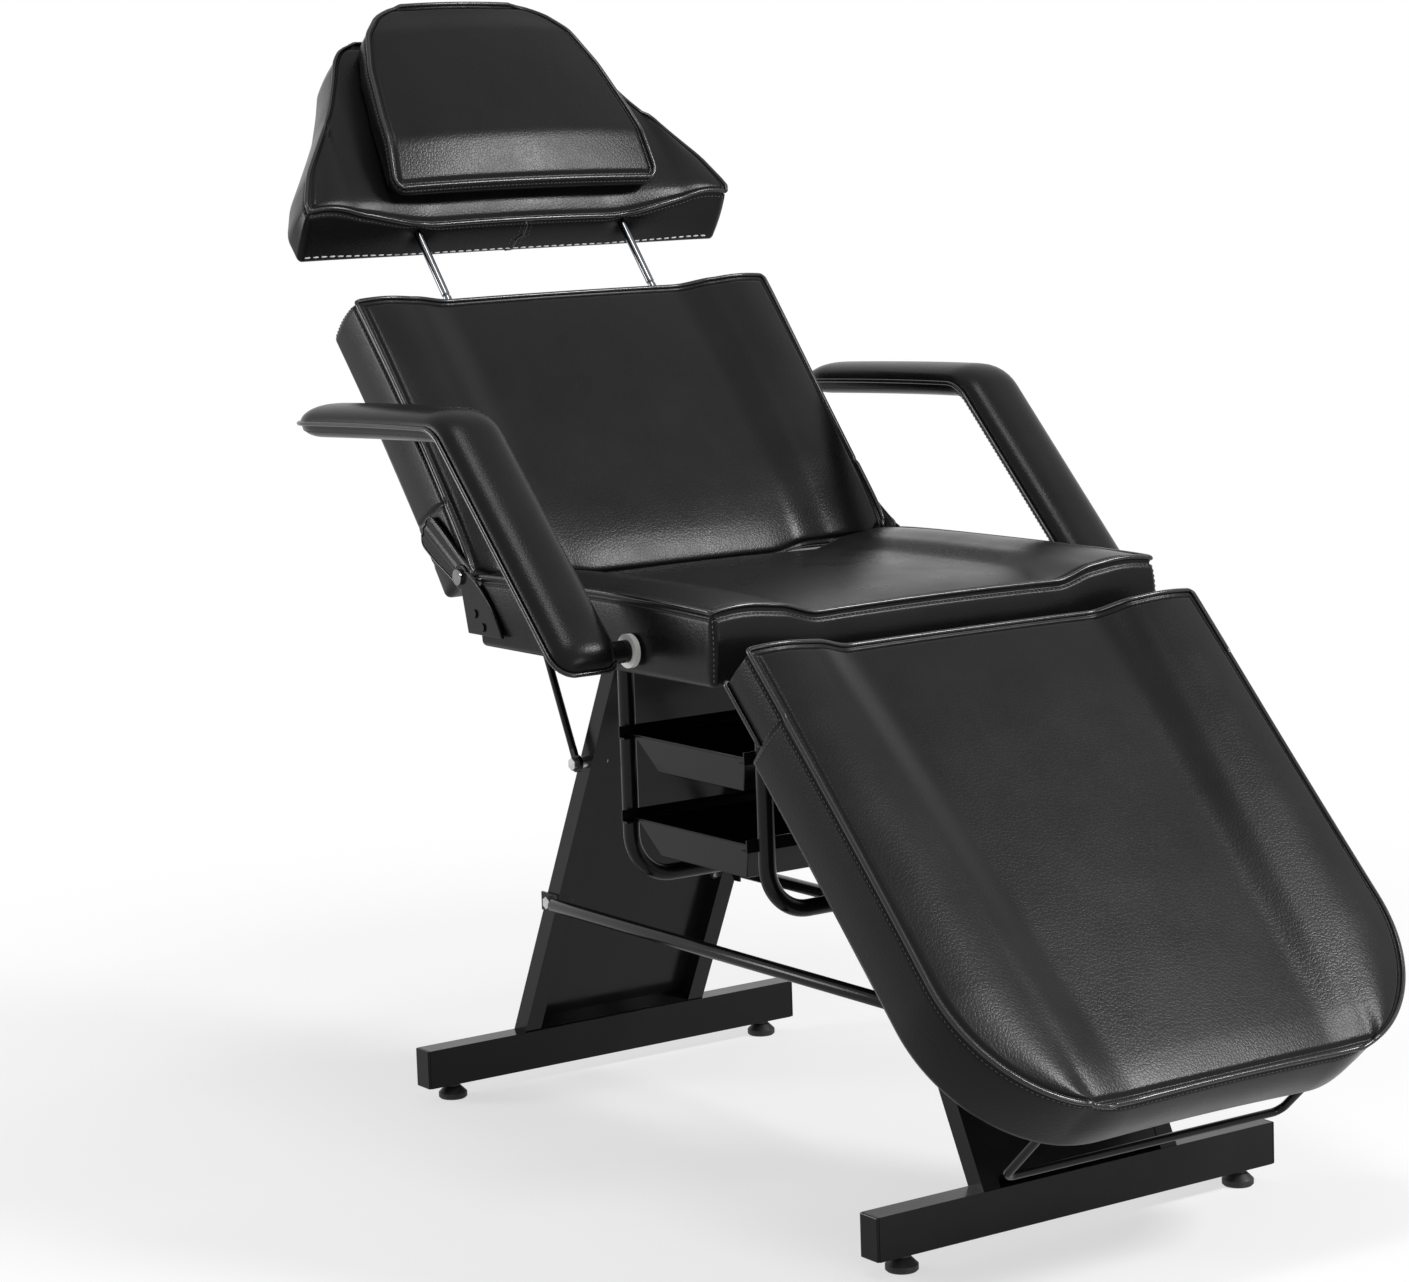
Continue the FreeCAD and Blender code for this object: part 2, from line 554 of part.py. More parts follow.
def make_seat():
    depth = dim.seat_front + dim.seat_rear
    place = Placement(Vector(0, -dim.seat_front, seat_base), Rotation())
    shape = cushion(straight_stations(depth, dim.seat_half - dim.cushion_bulge, dim.seat_thickness),
                    dim.seat_half, dim.channel_half, dim.channel_drop)
    inset = dim.board_inset - dim.fit_clearance
    half = dim.seat_half - inset
    shape = shape.cut(solid_box(Vector(-half, inset, -dim.cut_overrun),
                                Vector(half, depth - inset, dim.board_thickness)))
    for _, side in SIDES:
        bracket = side * (dim.seat_half - dim.pivot_bracket_inset)
        reach = dim.pivot_bracket_flange + dim.fit_clearance
        wide = dim.pivot_bracket_half + dim.fit_clearance
        middle = dim.seat_front - dim.arm_pivot_y
        tall = dim.board_thickness + dim.pivot_bracket_height + dim.fit_clearance
        shape = shape.cut(solid_box(Vector(bracket - reach, middle - wide, 0),
                                    Vector(bracket + reach, middle + wide, tall)))
        bore = Part.makeCylinder(dim.pivot_radius + dim.fit_clearance, dim.seat_half,
                                 Vector(bracket, middle, dim.arm_pivot_z - seat_base), X_AXIS * side)
        shape = shape.cut(bore)
    keep("seat_cushion", formed(shape), place)
    board = prism("XY_Plane", [
        ("-(seat_half - board_inset)", "-(seat_front - board_inset)"),
        ("seat_half - board_inset", "-(seat_front - board_inset)"),
        ("seat_half - board_inset", "seat_rear - board_inset"),
        ("-(seat_half - board_inset)", "seat_rear - board_inset")], "board_thickness", centred=False)
    keep("seat_board", board, Placement(Vector(0, 0, seat_base), Rotation()))


# Backrest
def make_backrest():
    shape = cushion(straight_stations(dim.back_length, back_half - dim.cushion_bulge, dim.back_thickness),
                    back_half, dim.channel_half, dim.channel_drop)
    inset = dim.board_inset - dim.fit_clearance
    half = back_half - inset
    shape = shape.cut(solid_box(Vector(-half, inset, -dim.cut_overrun),
                                Vector(half, dim.back_length - inset, dim.board_thickness)))
    axis_z = dim.back_thickness - dim.post_depth
    for _, side in SIDES:
        x = side * dim.post_spacing / 2
        wide = dim.socket_radius + dim.fit_clearance
        inner = dim.back_length - dim.socket_length - dim.fit_clearance
        shape = shape.cut(solid_box(Vector(x - wide, inner, 0),
                                    Vector(x + wide, dim.back_length - dim.board_inset, axis_z + wide)))
        shape = shape.cut(Part.makeCylinder(wide, dim.board_inset + dim.cut_overrun,
                                            Vector(x, dim.back_length - dim.board_inset, axis_z), Y_AXIS))
    keep("back_cushion", formed(shape), BACK)
    edge = "seat_half - back_inset - board_inset"
    board = prism("XY_Plane", [
        (f"-({edge})", "board_inset"), (edge, "board_inset"), (edge, "back_length - board_inset"),
        (f"-({edge})", "back_length - board_inset")], "board_thickness", centred=False)
    keep("back_board", board, BACK)
    sockets = []
    for _, side in SIDES:
        base = Vector(side * dim.post_spacing / 2, dim.back_length - dim.socket_length, axis_z)
        tube = cut(rod("socket_radius", "socket_length + socket_lip", base, Y_AXIS),
                   rod("post_radius + running_fit", "socket_length + cut_overrun",
                       base + Vector(0, dim.socket_lip, 0), Y_AXIS))
        foot = block("2 * socket_radius", "socket_block",
                     "back_thickness - post_depth - board_thickness - socket_radius / 2",
                     base + Vector(-dim.socket_radius, 0, dim.board_thickness - axis_z))
        bore = rod("post_radius + running_fit", "socket_length + cut_overrun",
                   base + Vector(0, dim.socket_lip, 0), Y_AXIS)
        sockets.append(fuse(tube, cut(foot, bore)))
    keep("post_sockets", group(*sockets), BACK)


def make_back_hinges():
    """Ears on the back's sides turn on studs held by quadrant brackets on the seat's sides."""
    ear_x = back_half + dim.plate_gap + dim.plate_thickness / 2
    bracket_x = ear_x + dim.plate_thickness + dim.plate_gap
    for name, side in SIDES:
        ear = link("ear_radius", "ear_fix_radius", "ear_length", "plate_thickness", "stud_radius + running_fit")
        keep(f"{name}_back_ear", ear, side_plane(side * ear_x, dim.back_hinge_y, dim.back_hinge_z,
                                                 dim.back_angle - dim.ear_lean))
        make_quadrant(name, side * bracket_x)
    make_studs(bracket_x)


bracket_swell_share = 0.6
screw_shares = ((0.55, 0.85), (0.775, 0.625))


def make_quadrant(name, x):
    """Bracket plate: an eye round the stud, a straight rear edge and an arc-shaped front edge."""
    low = dim.back_hinge_z - dim.bracket_arc
    rear = dim.back_hinge_y - dim.ear_radius
    corner = Vector(0, rear, low)
    front = Vector(0, dim.bracket_foot_y, low)
    eye = Vector(0, dim.back_hinge_y, dim.back_hinge_z)
    rise = Vector(0, 0, dim.ear_radius / 2)
    chord = eye + rise - Vector(0, dim.ear_radius, 0)
    swell = (front + chord) / 2 + Vector(0, -1, 1).normalize() * (dim.ear_radius * bracket_swell_share)
    outline = Part.Wire([
        Part.LineSegment(corner, front).toShape(),
        Part.Arc(front, swell, chord).toShape(),
        Part.LineSegment(chord, eye + rise).toShape(),
        Part.LineSegment(eye + rise, eye - rise).toShape(),
        Part.LineSegment(eye - rise, corner).toShape(),
    ])
    start = x - dim.plate_thickness / 2
    plate = Part.Face(outline).extrude(Vector(dim.plate_thickness, 0, 0))
    boss = Part.makeCylinder(dim.ear_radius, dim.plate_thickness, eye, X_AXIS)
    bore = Part.makeCylinder(dim.stud_radius + dim.running_fit, dim.plate_thickness, eye, X_AXIS)
    shape = plate.fuse(boss).cut(bore).removeSplitter()
    keep(f"{name}_back_bracket", formed(shape), Placement(Vector(start, 0, 0), Rotation()))


def make_studs(bracket_x):
    """Shouldered studs: the head outside the bracket, the shank through bracket and ear."""
    studs, screws = [], []
    outside = bracket_x + dim.plate_thickness / 2
    shank = "2 * plate_thickness + 2 * plate_gap - fit_clearance"
    for _, side in SIDES:
        eye = Vector(side * outside, dim.back_hinge_y, dim.back_hinge_z)
        studs.append(fuse(rod("stud_head_radius", "stud_head", eye, X_AXIS * side),
                          rod("stud_radius", shank, eye, X_AXIS * -side)))
    keep("back_hinge_studs", group(*studs))
    for _, side in SIDES:
        for along_share, drop_share in screw_shares:
            y = dim.bracket_foot_y + (dim.back_hinge_y - dim.ear_radius - dim.bracket_foot_y) * along_share
            z = dim.back_hinge_z - dim.bracket_arc * drop_share
            place = Vector(side * outside, y, z)
            screws.append(rod("screw_radius", "screw_head", place, X_AXIS * side))
    keep("bracket_screws", group(*screws))


# Headrest, posts and pillow
head_shares = ((0.0, 0.985, 1.0), (0.13, 1.0, 1.0), (0.28, 0.94, 0.6), (0.45, 0.83, 0.3), (0.62, 0.72, 0.15),
               (0.78, 0.64, 0.1), (0.9, 0.585, 0.05), (0.965, 0.53, 0.02), (1.0, 0.43, 0.01))
pillow_shares = ((0.0, 1.0, 0.58), (0.21, 0.97, 1.0), (0.35, 0.95, 1.0), (0.62, 0.88, 1.0), (0.82, 0.78, 0.95),
                 (0.93, 0.64, 0.84), (0.985, 0.47, 0.7), (1.0, 0.36, 0.62))


def make_headrest():
    """Wide at the neck and narrow at the crown; the lower wall leans out, with a dip between the posts."""
    bevel_share = head_shares[1][0]
    stations = []
    for along_share, width_share, dip_share in head_shares:
        lean = dim.head_bevel / dim.head_thickness * max(0, 1 - along_share / bevel_share)
        stations.append((dim.head_length * along_share, lean, dim.head_half * width_share - dim.cushion_bulge,
                         dim.head_thickness - dim.bolster_crown, dip_share))
    shape = cushion(stations, dim.head_half, dim.neck_half, dim.neck_drop)
    inset = dim.fit_clearance
    shape = shape.cut(solid_box(
        Vector(-dim.head_board_half - inset, dim.head_board_start - inset, -dim.cut_overrun),
        Vector(dim.head_board_half + inset, dim.head_board_start + dim.head_board_length + inset,
               dim.board_thickness)))
    axis_z = dim.head_thickness - dim.post_depth
    for _, side in SIDES:
        x = side * dim.post_spacing / 2
        bore = Part.makeCylinder(dim.post_radius + dim.fit_clearance, dim.post_in_head + dim.cut_overrun,
                                 Vector(x, -dim.cut_overrun, axis_z), Y_AXIS)
        shape = shape.cut(bore)
        half = dim.post_foot_width / 2 + dim.fit_clearance
        start = dim.post_in_head - dim.post_foot_length - dim.fit_clearance
        shape = shape.cut(solid_box(Vector(x - half, start, -dim.cut_overrun),
                                    Vector(x + half, dim.post_in_head + dim.fit_clearance, axis_z + half)))
    keep("headrest_cushion", formed(shape), HEAD)
    board = prism("XY_Plane", [
        ("-head_board_half", "head_board_start"), ("head_board_half", "head_board_start"),
        ("head_board_half", "head_board_start + head_board_length"),
        ("-head_board_half", "head_board_start + head_board_length")], "board_thickness", centred=False)
    keep("headrest_board", board, HEAD)


def make_posts():
    """Chrome posts with a detent groove; a foot clamps each one to the headrest."""
    total = "post_in_back + head_gap + post_in_head"
    groove = "post_in_back + post_groove_height"
    profile = [
        ("0", "0"), ("post_radius - post_groove", "0"), ("post_radius", "post_groove"), ("post_radius", groove),
        ("post_radius - post_groove", f"{groove} + post_groove_width / 2"),
        ("post_radius", f"{groove} + post_groove_width"), ("post_radius", total), ("0", total)]
    posts = []
    for _, side in SIDES:
        base = Vector(side * dim.post_spacing / 2, -dim.head_gap - dim.post_in_back,
                      dim.head_thickness - dim.post_depth)
        post = turned(profile)
        post.Placement = Placement(base, Rotation(Z_AXIS, Y_AXIS))
        foot = block("post_foot_width", "post_foot_length", "head_thickness - post_depth + post_radius",
                     Vector(base.x - dim.post_foot_width / 2, dim.post_in_head - dim.post_foot_length, 0))
        posts.append(fuse(post, foot))
    keep("headrest_posts", group(*posts), HEAD)


def make_pillow():
    """D-shaped pillow: a bevel along the straight lower edge, rounded top, a soft crown."""
    wires = []
    for along_share, width_share, thick_share in pillow_shares:
        half = dim.pillow_half * width_share
        top = (dim.pillow_thickness - dim.pillow_crown) * thick_share
        y = dim.pillow_length * along_share
        left, right = Vector(-half, y, 0), Vector(half, y, 0)
        upper_left, upper_right = Vector(-half, y, top), Vector(half, y, top)
        swell = Vector(dim.cushion_bulge, 0, top / 2)
        wires.append(Part.Wire([
            Part.LineSegment(left, right).toShape(),
            Part.Arc(right, right + swell, upper_right).toShape(),
            Part.Arc(upper_right, Vector(0, y, top + dim.pillow_crown * thick_share), upper_left).toShape(),
            Part.Arc(upper_left, left + Vector(-swell.x, 0, swell.z), left).toShape(),
        ]))
    lift = Placement(Vector(0, dim.pillow_start, dim.head_thickness + dim.fit_clearance), Rotation())
    keep("headrest_pillow", formed(Part.makeLoft(wires, True, True)), HEAD * lift)


# Leg rest
leg_corner_turns = (90, 78, 64, 48, 30, 14, 0)
leg_run_shares = (0.5, 0.85, 0.97, 1.0)
foot_channel_share = 0.35


def leg_stations():
    """Round corners at the foot end, straight sides above; the channel fades towards the foot."""
    half = dim.leg_half - dim.cushion_bulge
    corner = dim.leg_corner
    stations = []
    for degrees in leg_corner_turns:
        angle = math.radians(degrees)
        fade = foot_channel_share + (1 - foot_channel_share) * math.cos(angle)
        edge = dim.leg_thickness - dim.cushion_crown * math.sin(angle)
        stations.append((corner * (1 - math.sin(angle)), 0, half - corner * (1 - math.cos(angle)),
                         edge - dim.bolster_crown, fade))
    run = dim.leg_length - corner
    for share in leg_run_shares:
        drop = dim.cushion_crown if share == leg_run_shares[-1] else 0
        stations.append((corner + run * share, 0, half, dim.leg_thickness - dim.bolster_crown - drop, 1.0))
    return stations


def make_leg_rest():
    shape = cushion(leg_stations(), dim.leg_half, dim.channel_half, dim.channel_drop)
    notch = dim.leg_length - dim.notch_length
    wide = dim.leg_half + dim.cut_overrun
    shape = shape.cut(solid_box(Vector(-wide, notch, -dim.cut_overrun),
                                Vector(wide, dim.leg_length + dim.cut_overrun, dim.notch_height)))
    inset = dim.leg_board_margin - dim.fit_clearance
    half = dim.leg_half - inset
    pocket = leg_outline(half, inset, notch - inset, dim.leg_corner - inset)
    shape = shape.cut(pocket.extrude(Vector(0, 0, dim.board_thickness)))
    shape = shape.cut(solid_box(
        Vector(-half, notch + inset, dim.notch_height),
        Vector(half, dim.leg_length - inset, dim.notch_height + dim.board_thickness)))
    keep("leg_cushion", formed(shape), LEG)
    margin = dim.leg_board_margin
    board = leg_outline(dim.leg_half - margin, margin, notch - margin, dim.leg_corner - margin)
    keep("leg_board", formed(board.extrude(Vector(0, 0, dim.board_thickness))), LEG)
    upper = prism("XY_Plane", [
        ("-(leg_half - leg_board_margin)", "leg_length - notch_length + leg_board_margin"),
        ("leg_half - leg_board_margin", "leg_length - notch_length + leg_board_margin"),
        ("leg_half - leg_board_margin", "leg_length - leg_board_margin"),
        ("-(leg_half - leg_board_margin)", "leg_length - leg_board_margin")], "board_thickness", centred=False)
    keep("leg_hinge_board", upper, LEG * Placement(Vector(0, 0, dim.notch_height), Rotation()))


def leg_outline(half, foot, top, corner):
    """Face of the leg board: square at the top, round corners at the foot end."""
    flat = half - corner
    rise = foot + corner
    slant = corner * math.sqrt(0.5)
    return Part.Face(Part.Wire([
        Part.LineSegment(Vector(-flat, foot, 0), Vector(flat, foot, 0)).toShape(),
        Part.Arc(Vector(flat, foot, 0), Vector(flat + slant, rise - slant, 0), Vector(half, rise, 0)).toShape(),
        Part.LineSegment(Vector(half, rise, 0), Vector(half, top, 0)).toShape(),
        Part.LineSegment(Vector(half, top, 0), Vector(-half, top, 0)).toShape(),
        Part.LineSegment(Vector(-half, top, 0), Vector(-half, rise, 0)).toShape(),
        Part.Arc(Vector(-half, rise, 0), Vector(-flat - slant, rise - slant, 0),
                 Vector(-flat, foot, 0)).toShape(),
    ]))


def make_leg_hinge():
    """Lugs on the seat rails, pins through them, and arms on the leg rest that turn on the pins."""
    top = "(frame_underside + rail_height - lug_headroom)"
    foot = f"{top} - lug_height"
    front = "-(leg_hinge_y + lug_radius)"
    step = "-(leg_hinge_y - lug_radius)"
    rear = "lug_root - leg_hinge_y"
    corners = [(front, foot), (rear, foot), (rear, top), (step, top), (step, "leg_hinge_z"),
               (front, "leg_hinge_z")]
    pins = []
    for name, side in SIDES:
        lugs = []
        for face in (1, -1):
            x = side * rail_middle + face * (dim.rail_width + dim.lug_thickness) / 2
            web = prism("YZ_Plane", corners, "lug_thickness")
            web.Placement.Base = Vector(x, 0, 0)
            eye = leg_hinge + X_AXIS * (x - dim.lug_thickness / 2)
            boss = rod("lug_radius", "lug_thickness", eye, X_AXIS)
            bore = rod("hinge_pin_radius + running_fit", "lug_thickness", eye, X_AXIS)
            lugs.append(cut(fuse(web, boss), bore))
        keep(f"{name}_leg_hinge_lugs", group(*lugs))
        length = "rail_width + 2 * lug_thickness + 2 * side_play"
        low = Vector(side * rail_middle - dim.rail_width / 2 - dim.lug_thickness - dim.side_play,
                     leg_hinge.y, leg_hinge.z)
        pins.append(rod("hinge_pin_radius", length, low, X_AXIS))
        make_leg_arm(name, side)
    keep("leg_hinge_pins", group(*pins))


def make_leg_arm(name, side):
    """Knuckle on the pin with a strap along the notch of the leg rest."""
    width = "rail_width - 2 * side_play"
    low_x = side * rail_middle - dim.rail_width / 2 + dim.side_play
    depth = dim.leg_thickness - dim.leg_hinge_depth
    knuckle = rod("lug_radius", width, Vector(low_x, dim.leg_length, depth), X_AXIS)
    strap = block(width, "arm_strap_end", "arm_strap",
                  Vector(low_x, dim.leg_length - dim.arm_strap_end, dim.notch_height - dim.arm_strap))
    bore = rod("hinge_pin_radius + running_fit", f"{width} + cut_overrun",
               Vector(low_x - dim.cut_overrun / 2, dim.leg_length, depth), X_AXIS)
    keep(f"{name}_leg_hinge_arm", cut(fuse(knuckle, strap), bore), LEG)


def make_lift_bar():
    """Bent rod under the foot end, welded to two round flanges on the board."""
    bar = tube_along("lift_half", "lift_drop", "lift_bend", "lift_radius")
    flanges = []
    for _, side in SIDES:
        foot = Vector(side * dim.lift_half, 0, -dim.lift_flange)
        flanges.append(rod("lift_flange_radius", "lift_flange", foot, Z_AXIS))
    place = Placement(Vector(0, dim.lift_station, 0), Rotation())
    keep("foot_lift_bar", fuse(bar, *flanges), LEG * place)


# Telescopic struts: rods turn on the leg frames, tubes on the back and on the leg rest
def strut_pair(kind, anchor, top, trim, rod_length, tube_length, bore, radius):
    """Two rods and two tubes on one line in the side plane, an eye at the outer end of each."""
    line = top - anchor
    direction = math.degrees(math.atan2(line.z, line.y)) + trim
    rods, tubes = [], []
    for _, side in SIDES:
        x = side * (outer_face + dim.strut_reach)
        halves = ((anchor, direction, rods, rod_length, "strut_rod_radius"),
                  (top, direction + 180, tubes, tube_length, radius))
        for place, heading, store, length, outer in halves:
            frame = side_plane(x, place.y, place.z, heading)
            low = Vector(0, 0, -dim.strut_eye_thickness / 2)
            eye = rod("strut_eye_radius", "strut_eye_thickness", low, Z_AXIS)
            strap = block("strut_neck + strut_seat", "2 * strut_rod_radius", "strut_eye_thickness",
                          low - Vector(0, dim.strut_rod_radius, 0))
            stem = rod(outer, f"{length} - strut_neck", Vector(dim.strut_neck, 0, 0), X_AXIS)
            piece = fuse(eye, strap, stem)
            if store is tubes:
                mouth = Vector(dim.strut_neck + dim.strut_seat, 0, 0)
                piece = cut(piece, rod(bore, length, mouth, X_AXIS))
            pin = rod("bolt_radius + running_fit", "cut_overrun", Vector(0, 0, -dim.cut_overrun / 2), Z_AXIS)
            piece = cut(piece, pin)
            piece.Placement = frame
            store.append(piece)
    keep(f"{kind}_strut_rods", group(*rods))
    keep(f"{kind}_strut_tubes", group(*tubes))


def strut_clevis(frame, along, base, stand, label):
    """Brackets that hold the tubes' eyes: two cheeks and a pin on a foot plate."""
    pieces = []
    for _, side in SIDES:
        x = side * (outer_face + dim.strut_reach)
        gap = dim.strut_eye_thickness / 2 + dim.fit_clearance
        half = dim.strut_bracket_half
        reach = "strut_bracket_half * 2"
        height = f"{stand} + strut_bracket_half"
        cheeks = []
        for face in (1, -1):
            low_x = x + gap if face > 0 else x - gap - dim.strut_bracket
            low = Vector(low_x, along - half, base - number(height))
            cheeks.append(block("strut_bracket", reach, height, low))
        wide = 2 * (gap + dim.strut_bracket)
        pin = rod("bolt_radius", f"{wide}", Vector(x - wide / 2, along, base - number(stand)), X_AXIS)
        pieces.append(fuse(*cheeks, pin))
    keep(label, group(*pieces), frame)


# Armrests
def arm_path():
    """Elbow point, slope direction and the length of the slope in the side plane."""
    elbow = Vector(0, dim.arm_elbow_y, dim.arm_seam_z)
    pivot = Vector(0, -dim.arm_pivot_y, dim.arm_pivot_z)
    slope = pivot - elbow
    return elbow, pivot, slope


arm_end_width_share = 0.35


def arm_section(middle, up, size_share):
    """Crowned top above the seam, tapered belly below; a share shrinks it towards an end."""
    half = dim.arm_width / 2 * (arm_end_width_share + (1 - arm_end_width_share) * size_share)
    crown, belly = dim.arm_crown * size_share, dim.arm_belly * size_share
    tuck = dim.arm_belly_tuck * size_share

    def at(x, height):
        return middle + X_AXIS * x + up * height

    return Part.Wire([
        Part.Arc(at(-half, 0), at(0, crown), at(half, 0)).toShape(),
        Part.LineSegment(at(half, 0), at(half - tuck, -belly)).toShape(),
        Part.LineSegment(at(half - tuck, -belly), at(tuck - half, -belly)).toShape(),
        Part.LineSegment(at(tuck - half, -belly), at(-half, 0)).toShape(),
    ])


arm_rear_shares = ((0.0, 0.25), (0.3, 0.6), (1.0, 0.88), (2.6, 1.0))
arm_foot_shares = ((2.6, 1.0), (1.0, 0.86), (0.3, 0.62), (0.0, 0.4))
arm_turn_shares = (0, 0.25, 0.5, 0.75, 1)


def arm_shape():
    elbow, pivot, slope = arm_path()
    turn_angle = math.atan2(-slope.z, -slope.y)
    tangent = dim.arm_elbow_radius * math.tan(turn_angle / 2)
    wires = []
    for step_share, size_share in arm_rear_shares:
        wires.append(arm_section(Vector(0, dim.arm_rear - dim.arm_tip * step_share, dim.arm_seam_z), Z_AXIS,
                                 size_share))
    centre = elbow + Vector(0, tangent, -dim.arm_elbow_radius)
    for turn_share in arm_turn_shares:
        angle = turn_angle * turn_share
        up = Vector(0, -math.sin(angle), math.cos(angle))
        wires.append(arm_section(centre + up * dim.arm_elbow_radius, up, 1.0))
    up = Vector(0, -math.sin(turn_angle), math.cos(turn_angle))
    heading = Vector(0, -math.cos(turn_angle), -math.sin(turn_angle))
    end = pivot + heading * dim.arm_end
    for step_share, size_share in arm_foot_shares:
        wires.append(arm_section(end - heading * (dim.arm_tip * step_share), up, size_share))
    return Part.makeLoft(wires, True, True)


def core_shape():
    """Flat bar inside the pad, from the pivot's eye round the elbow to the rear."""
    elbow, pivot, slope = arm_path()
    gauge, tall = dim.core_thickness, dim.core_height
    drop = (dim.arm_crown - dim.arm_belly) / 2
    low_x = -gauge / 2
    run = dim.arm_rear - dim.core_rear_margin - elbow.y
    bar = Part.makeBox(gauge, run, tall, Vector(low_x, elbow.y, elbow.z - tall / 2 + drop))
    knee = Part.makeCylinder(tall / 2, gauge, elbow + Vector(low_x, 0, drop), X_AXIS)
    shank = Part.makeBox(gauge, slope.Length, tall, Vector(low_x, 0, -tall / 2))
    shank.Placement = Placement(elbow + Vector(0, 0, drop),
                                turn(X_AXIS, math.degrees(math.atan2(slope.z - drop, slope.y))))
    eye = Part.makeCylinder(dim.core_eye_radius, gauge, pivot + Vector(low_x, 0, 0), X_AXIS)
    return bar.fuse([knee, shank, eye]).removeSplitter()


def make_armrests():
    """Pads on steel cores that turn on bolts beside the seat, with a washer between."""
    _, pivot, _ = arm_path()
    middle = dim.seat_half + dim.arm_gap + dim.arm_width / 2
    inner_gap = dim.seat_half + dim.washer_thickness + 2 * dim.fit_clearance
    bolts, washers, brackets = [], [], []
    for name, side in SIDES:
        place = Placement(Vector(side * middle, 0, 0), Rotation())
        reach = middle - inner_gap - dim.core_thickness / 2
        bore = Part.makeCylinder(dim.pivot_radius + dim.running_fit, middle + dim.core_thickness,
                                 pivot - X_AXIS * (side * middle), X_AXIS * side)
        sleeve_base = pivot - X_AXIS * (side * (dim.core_thickness / 2 + reach))
        sleeve = Part.makeCylinder(dim.sleeve_radius, reach, sleeve_base, X_AXIS * side)
        core = core_shape().fuse(sleeve).removeSplitter()
        keep(f"{name}_armrest_pad", formed(arm_shape().cut(core).cut(bore)), place)
        keep(f"{name}_armrest_core", formed(core.cut(bore)), place)
        washers.append(cut(
            rod("washer_radius", "washer_thickness",
                Vector(side * (dim.seat_half + dim.fit_clearance), pivot.y, pivot.z), X_AXIS * side),
            rod("pivot_radius + running_fit", "washer_thickness + cut_overrun",
                Vector(side * (dim.seat_half - dim.cut_overrun / 2), pivot.y, pivot.z), X_AXIS * side)))
        web = dim.seat_half - dim.pivot_bracket_inset
        anchor = Vector(side * web, pivot.y, pivot.z)
        bolts.append(rod("pivot_radius", f"{middle - web}", anchor, X_AXIS * side))
        brackets.append(pivot_bracket(side, web, pivot))
    keep("armrest_pivot_bolts", group(*bolts))
    keep("armrest_pivot_washers", group(*washers))
    keep("armrest_pivot_brackets", group(*brackets))


def pivot_bracket(side, web, pivot):
    """Angle bracket on the seat board that the armrest's bolt is fixed to."""
    gauge = dim.pivot_bracket_gauge
    floor = seat_base + dim.board_thickness
    low_x = web - gauge if side > 0 else -web
    upright = block("pivot_bracket_gauge", "2 * pivot_bracket_half", "pivot_bracket_height",
                    Vector(low_x, pivot.y - dim.pivot_bracket_half, floor))
    flange_x = web - dim.pivot_bracket_flange if side > 0 else -web
    flange = block("pivot_bracket_flange", "2 * pivot_bracket_half", "pivot_bracket_gauge",
                   Vector(flange_x, pivot.y - dim.pivot_bracket_half, floor))
    return fuse(upright, flange)


# Tray hoops, rails and trays
def make_hoops():
    for name, sign in ENDS:
        hoop = tube_along("hoop_half", "frame_underside - hoop_bottom", "hoop_bend", "hoop_radius")
        place = Placement(Vector(0, sign * dim.hoop_y, dim.frame_underside), Rotation())
        keep(f"{name}_tray_hoop", hoop, place)


def make_rails():
    """Angle rails welded to the hoops' inner sides, a ledge under each tray's rim."""
    half = dim.cross_half + dim.rail_overhang
    face = dim.hoop_y - dim.hoop_radius
    for label, rim in (("upper_tray_rails", dim.upper_rim), ("lower_tray_rails", dim.lower_rim)):
        rails = []
        for _, sign in ENDS:
            ledge_z = rim - dim.tray_rim - dim.slide_gap - dim.rail_gauge
            low = Vector(-half, face - dim.rail_gauge if sign > 0 else -face, ledge_z)
            web = block("2 * (cross_half + rail_overhang)", "rail_gauge", "rail_web", low)
            ledge_y = face - dim.rail_ledge if sign > 0 else -face
            ledge = block("2 * (cross_half + rail_overhang)", "rail_ledge", "rail_gauge",
                          Vector(-half, ledge_y, ledge_z))
            rails.append(fuse(web, ledge))
        keep(label, group(*rails))


def make_trays():
    """Moulded trays: tapered walls, open top, a rim flange that slides on the rails."""
    wide = dim.hoop_y - dim.hoop_radius - dim.rail_gauge - dim.tray_side_gap
    mouth = wide - dim.tray_flange
    half = dim.tray_half

    def rectangle(x, y, z):
        corners = [Vector(-x, -y, z), Vector(x, -y, z), Vector(x, y, z), Vector(-x, y, z)]
        return Part.makePolygon(corners + corners[:1])

    for label, rim in (("upper_tray", dim.upper_rim), ("lower_tray", dim.lower_rim)):
        base = -dim.tray_depth
        outer = Part.makeLoft([rectangle(half - dim.tray_end_taper, mouth - dim.tray_taper, base),
                               rectangle(half, mouth, -dim.tray_rim)], True, True)
        flange = solid_box(Vector(-half, -wide, -dim.tray_rim), Vector(half, wide, 0))
        wall = dim.tray_wall
        hollow = Part.makeLoft([
            rectangle(half - dim.tray_end_taper - wall, mouth - dim.tray_taper - wall, base + wall),
            rectangle(half - wall, mouth - wall, 0)], True, True)
        shape = outer.fuse(flange).cut(hollow).removeSplitter()
        keep(label, formed(shape), Placement(Vector(0, 0, rim), Rotation()))


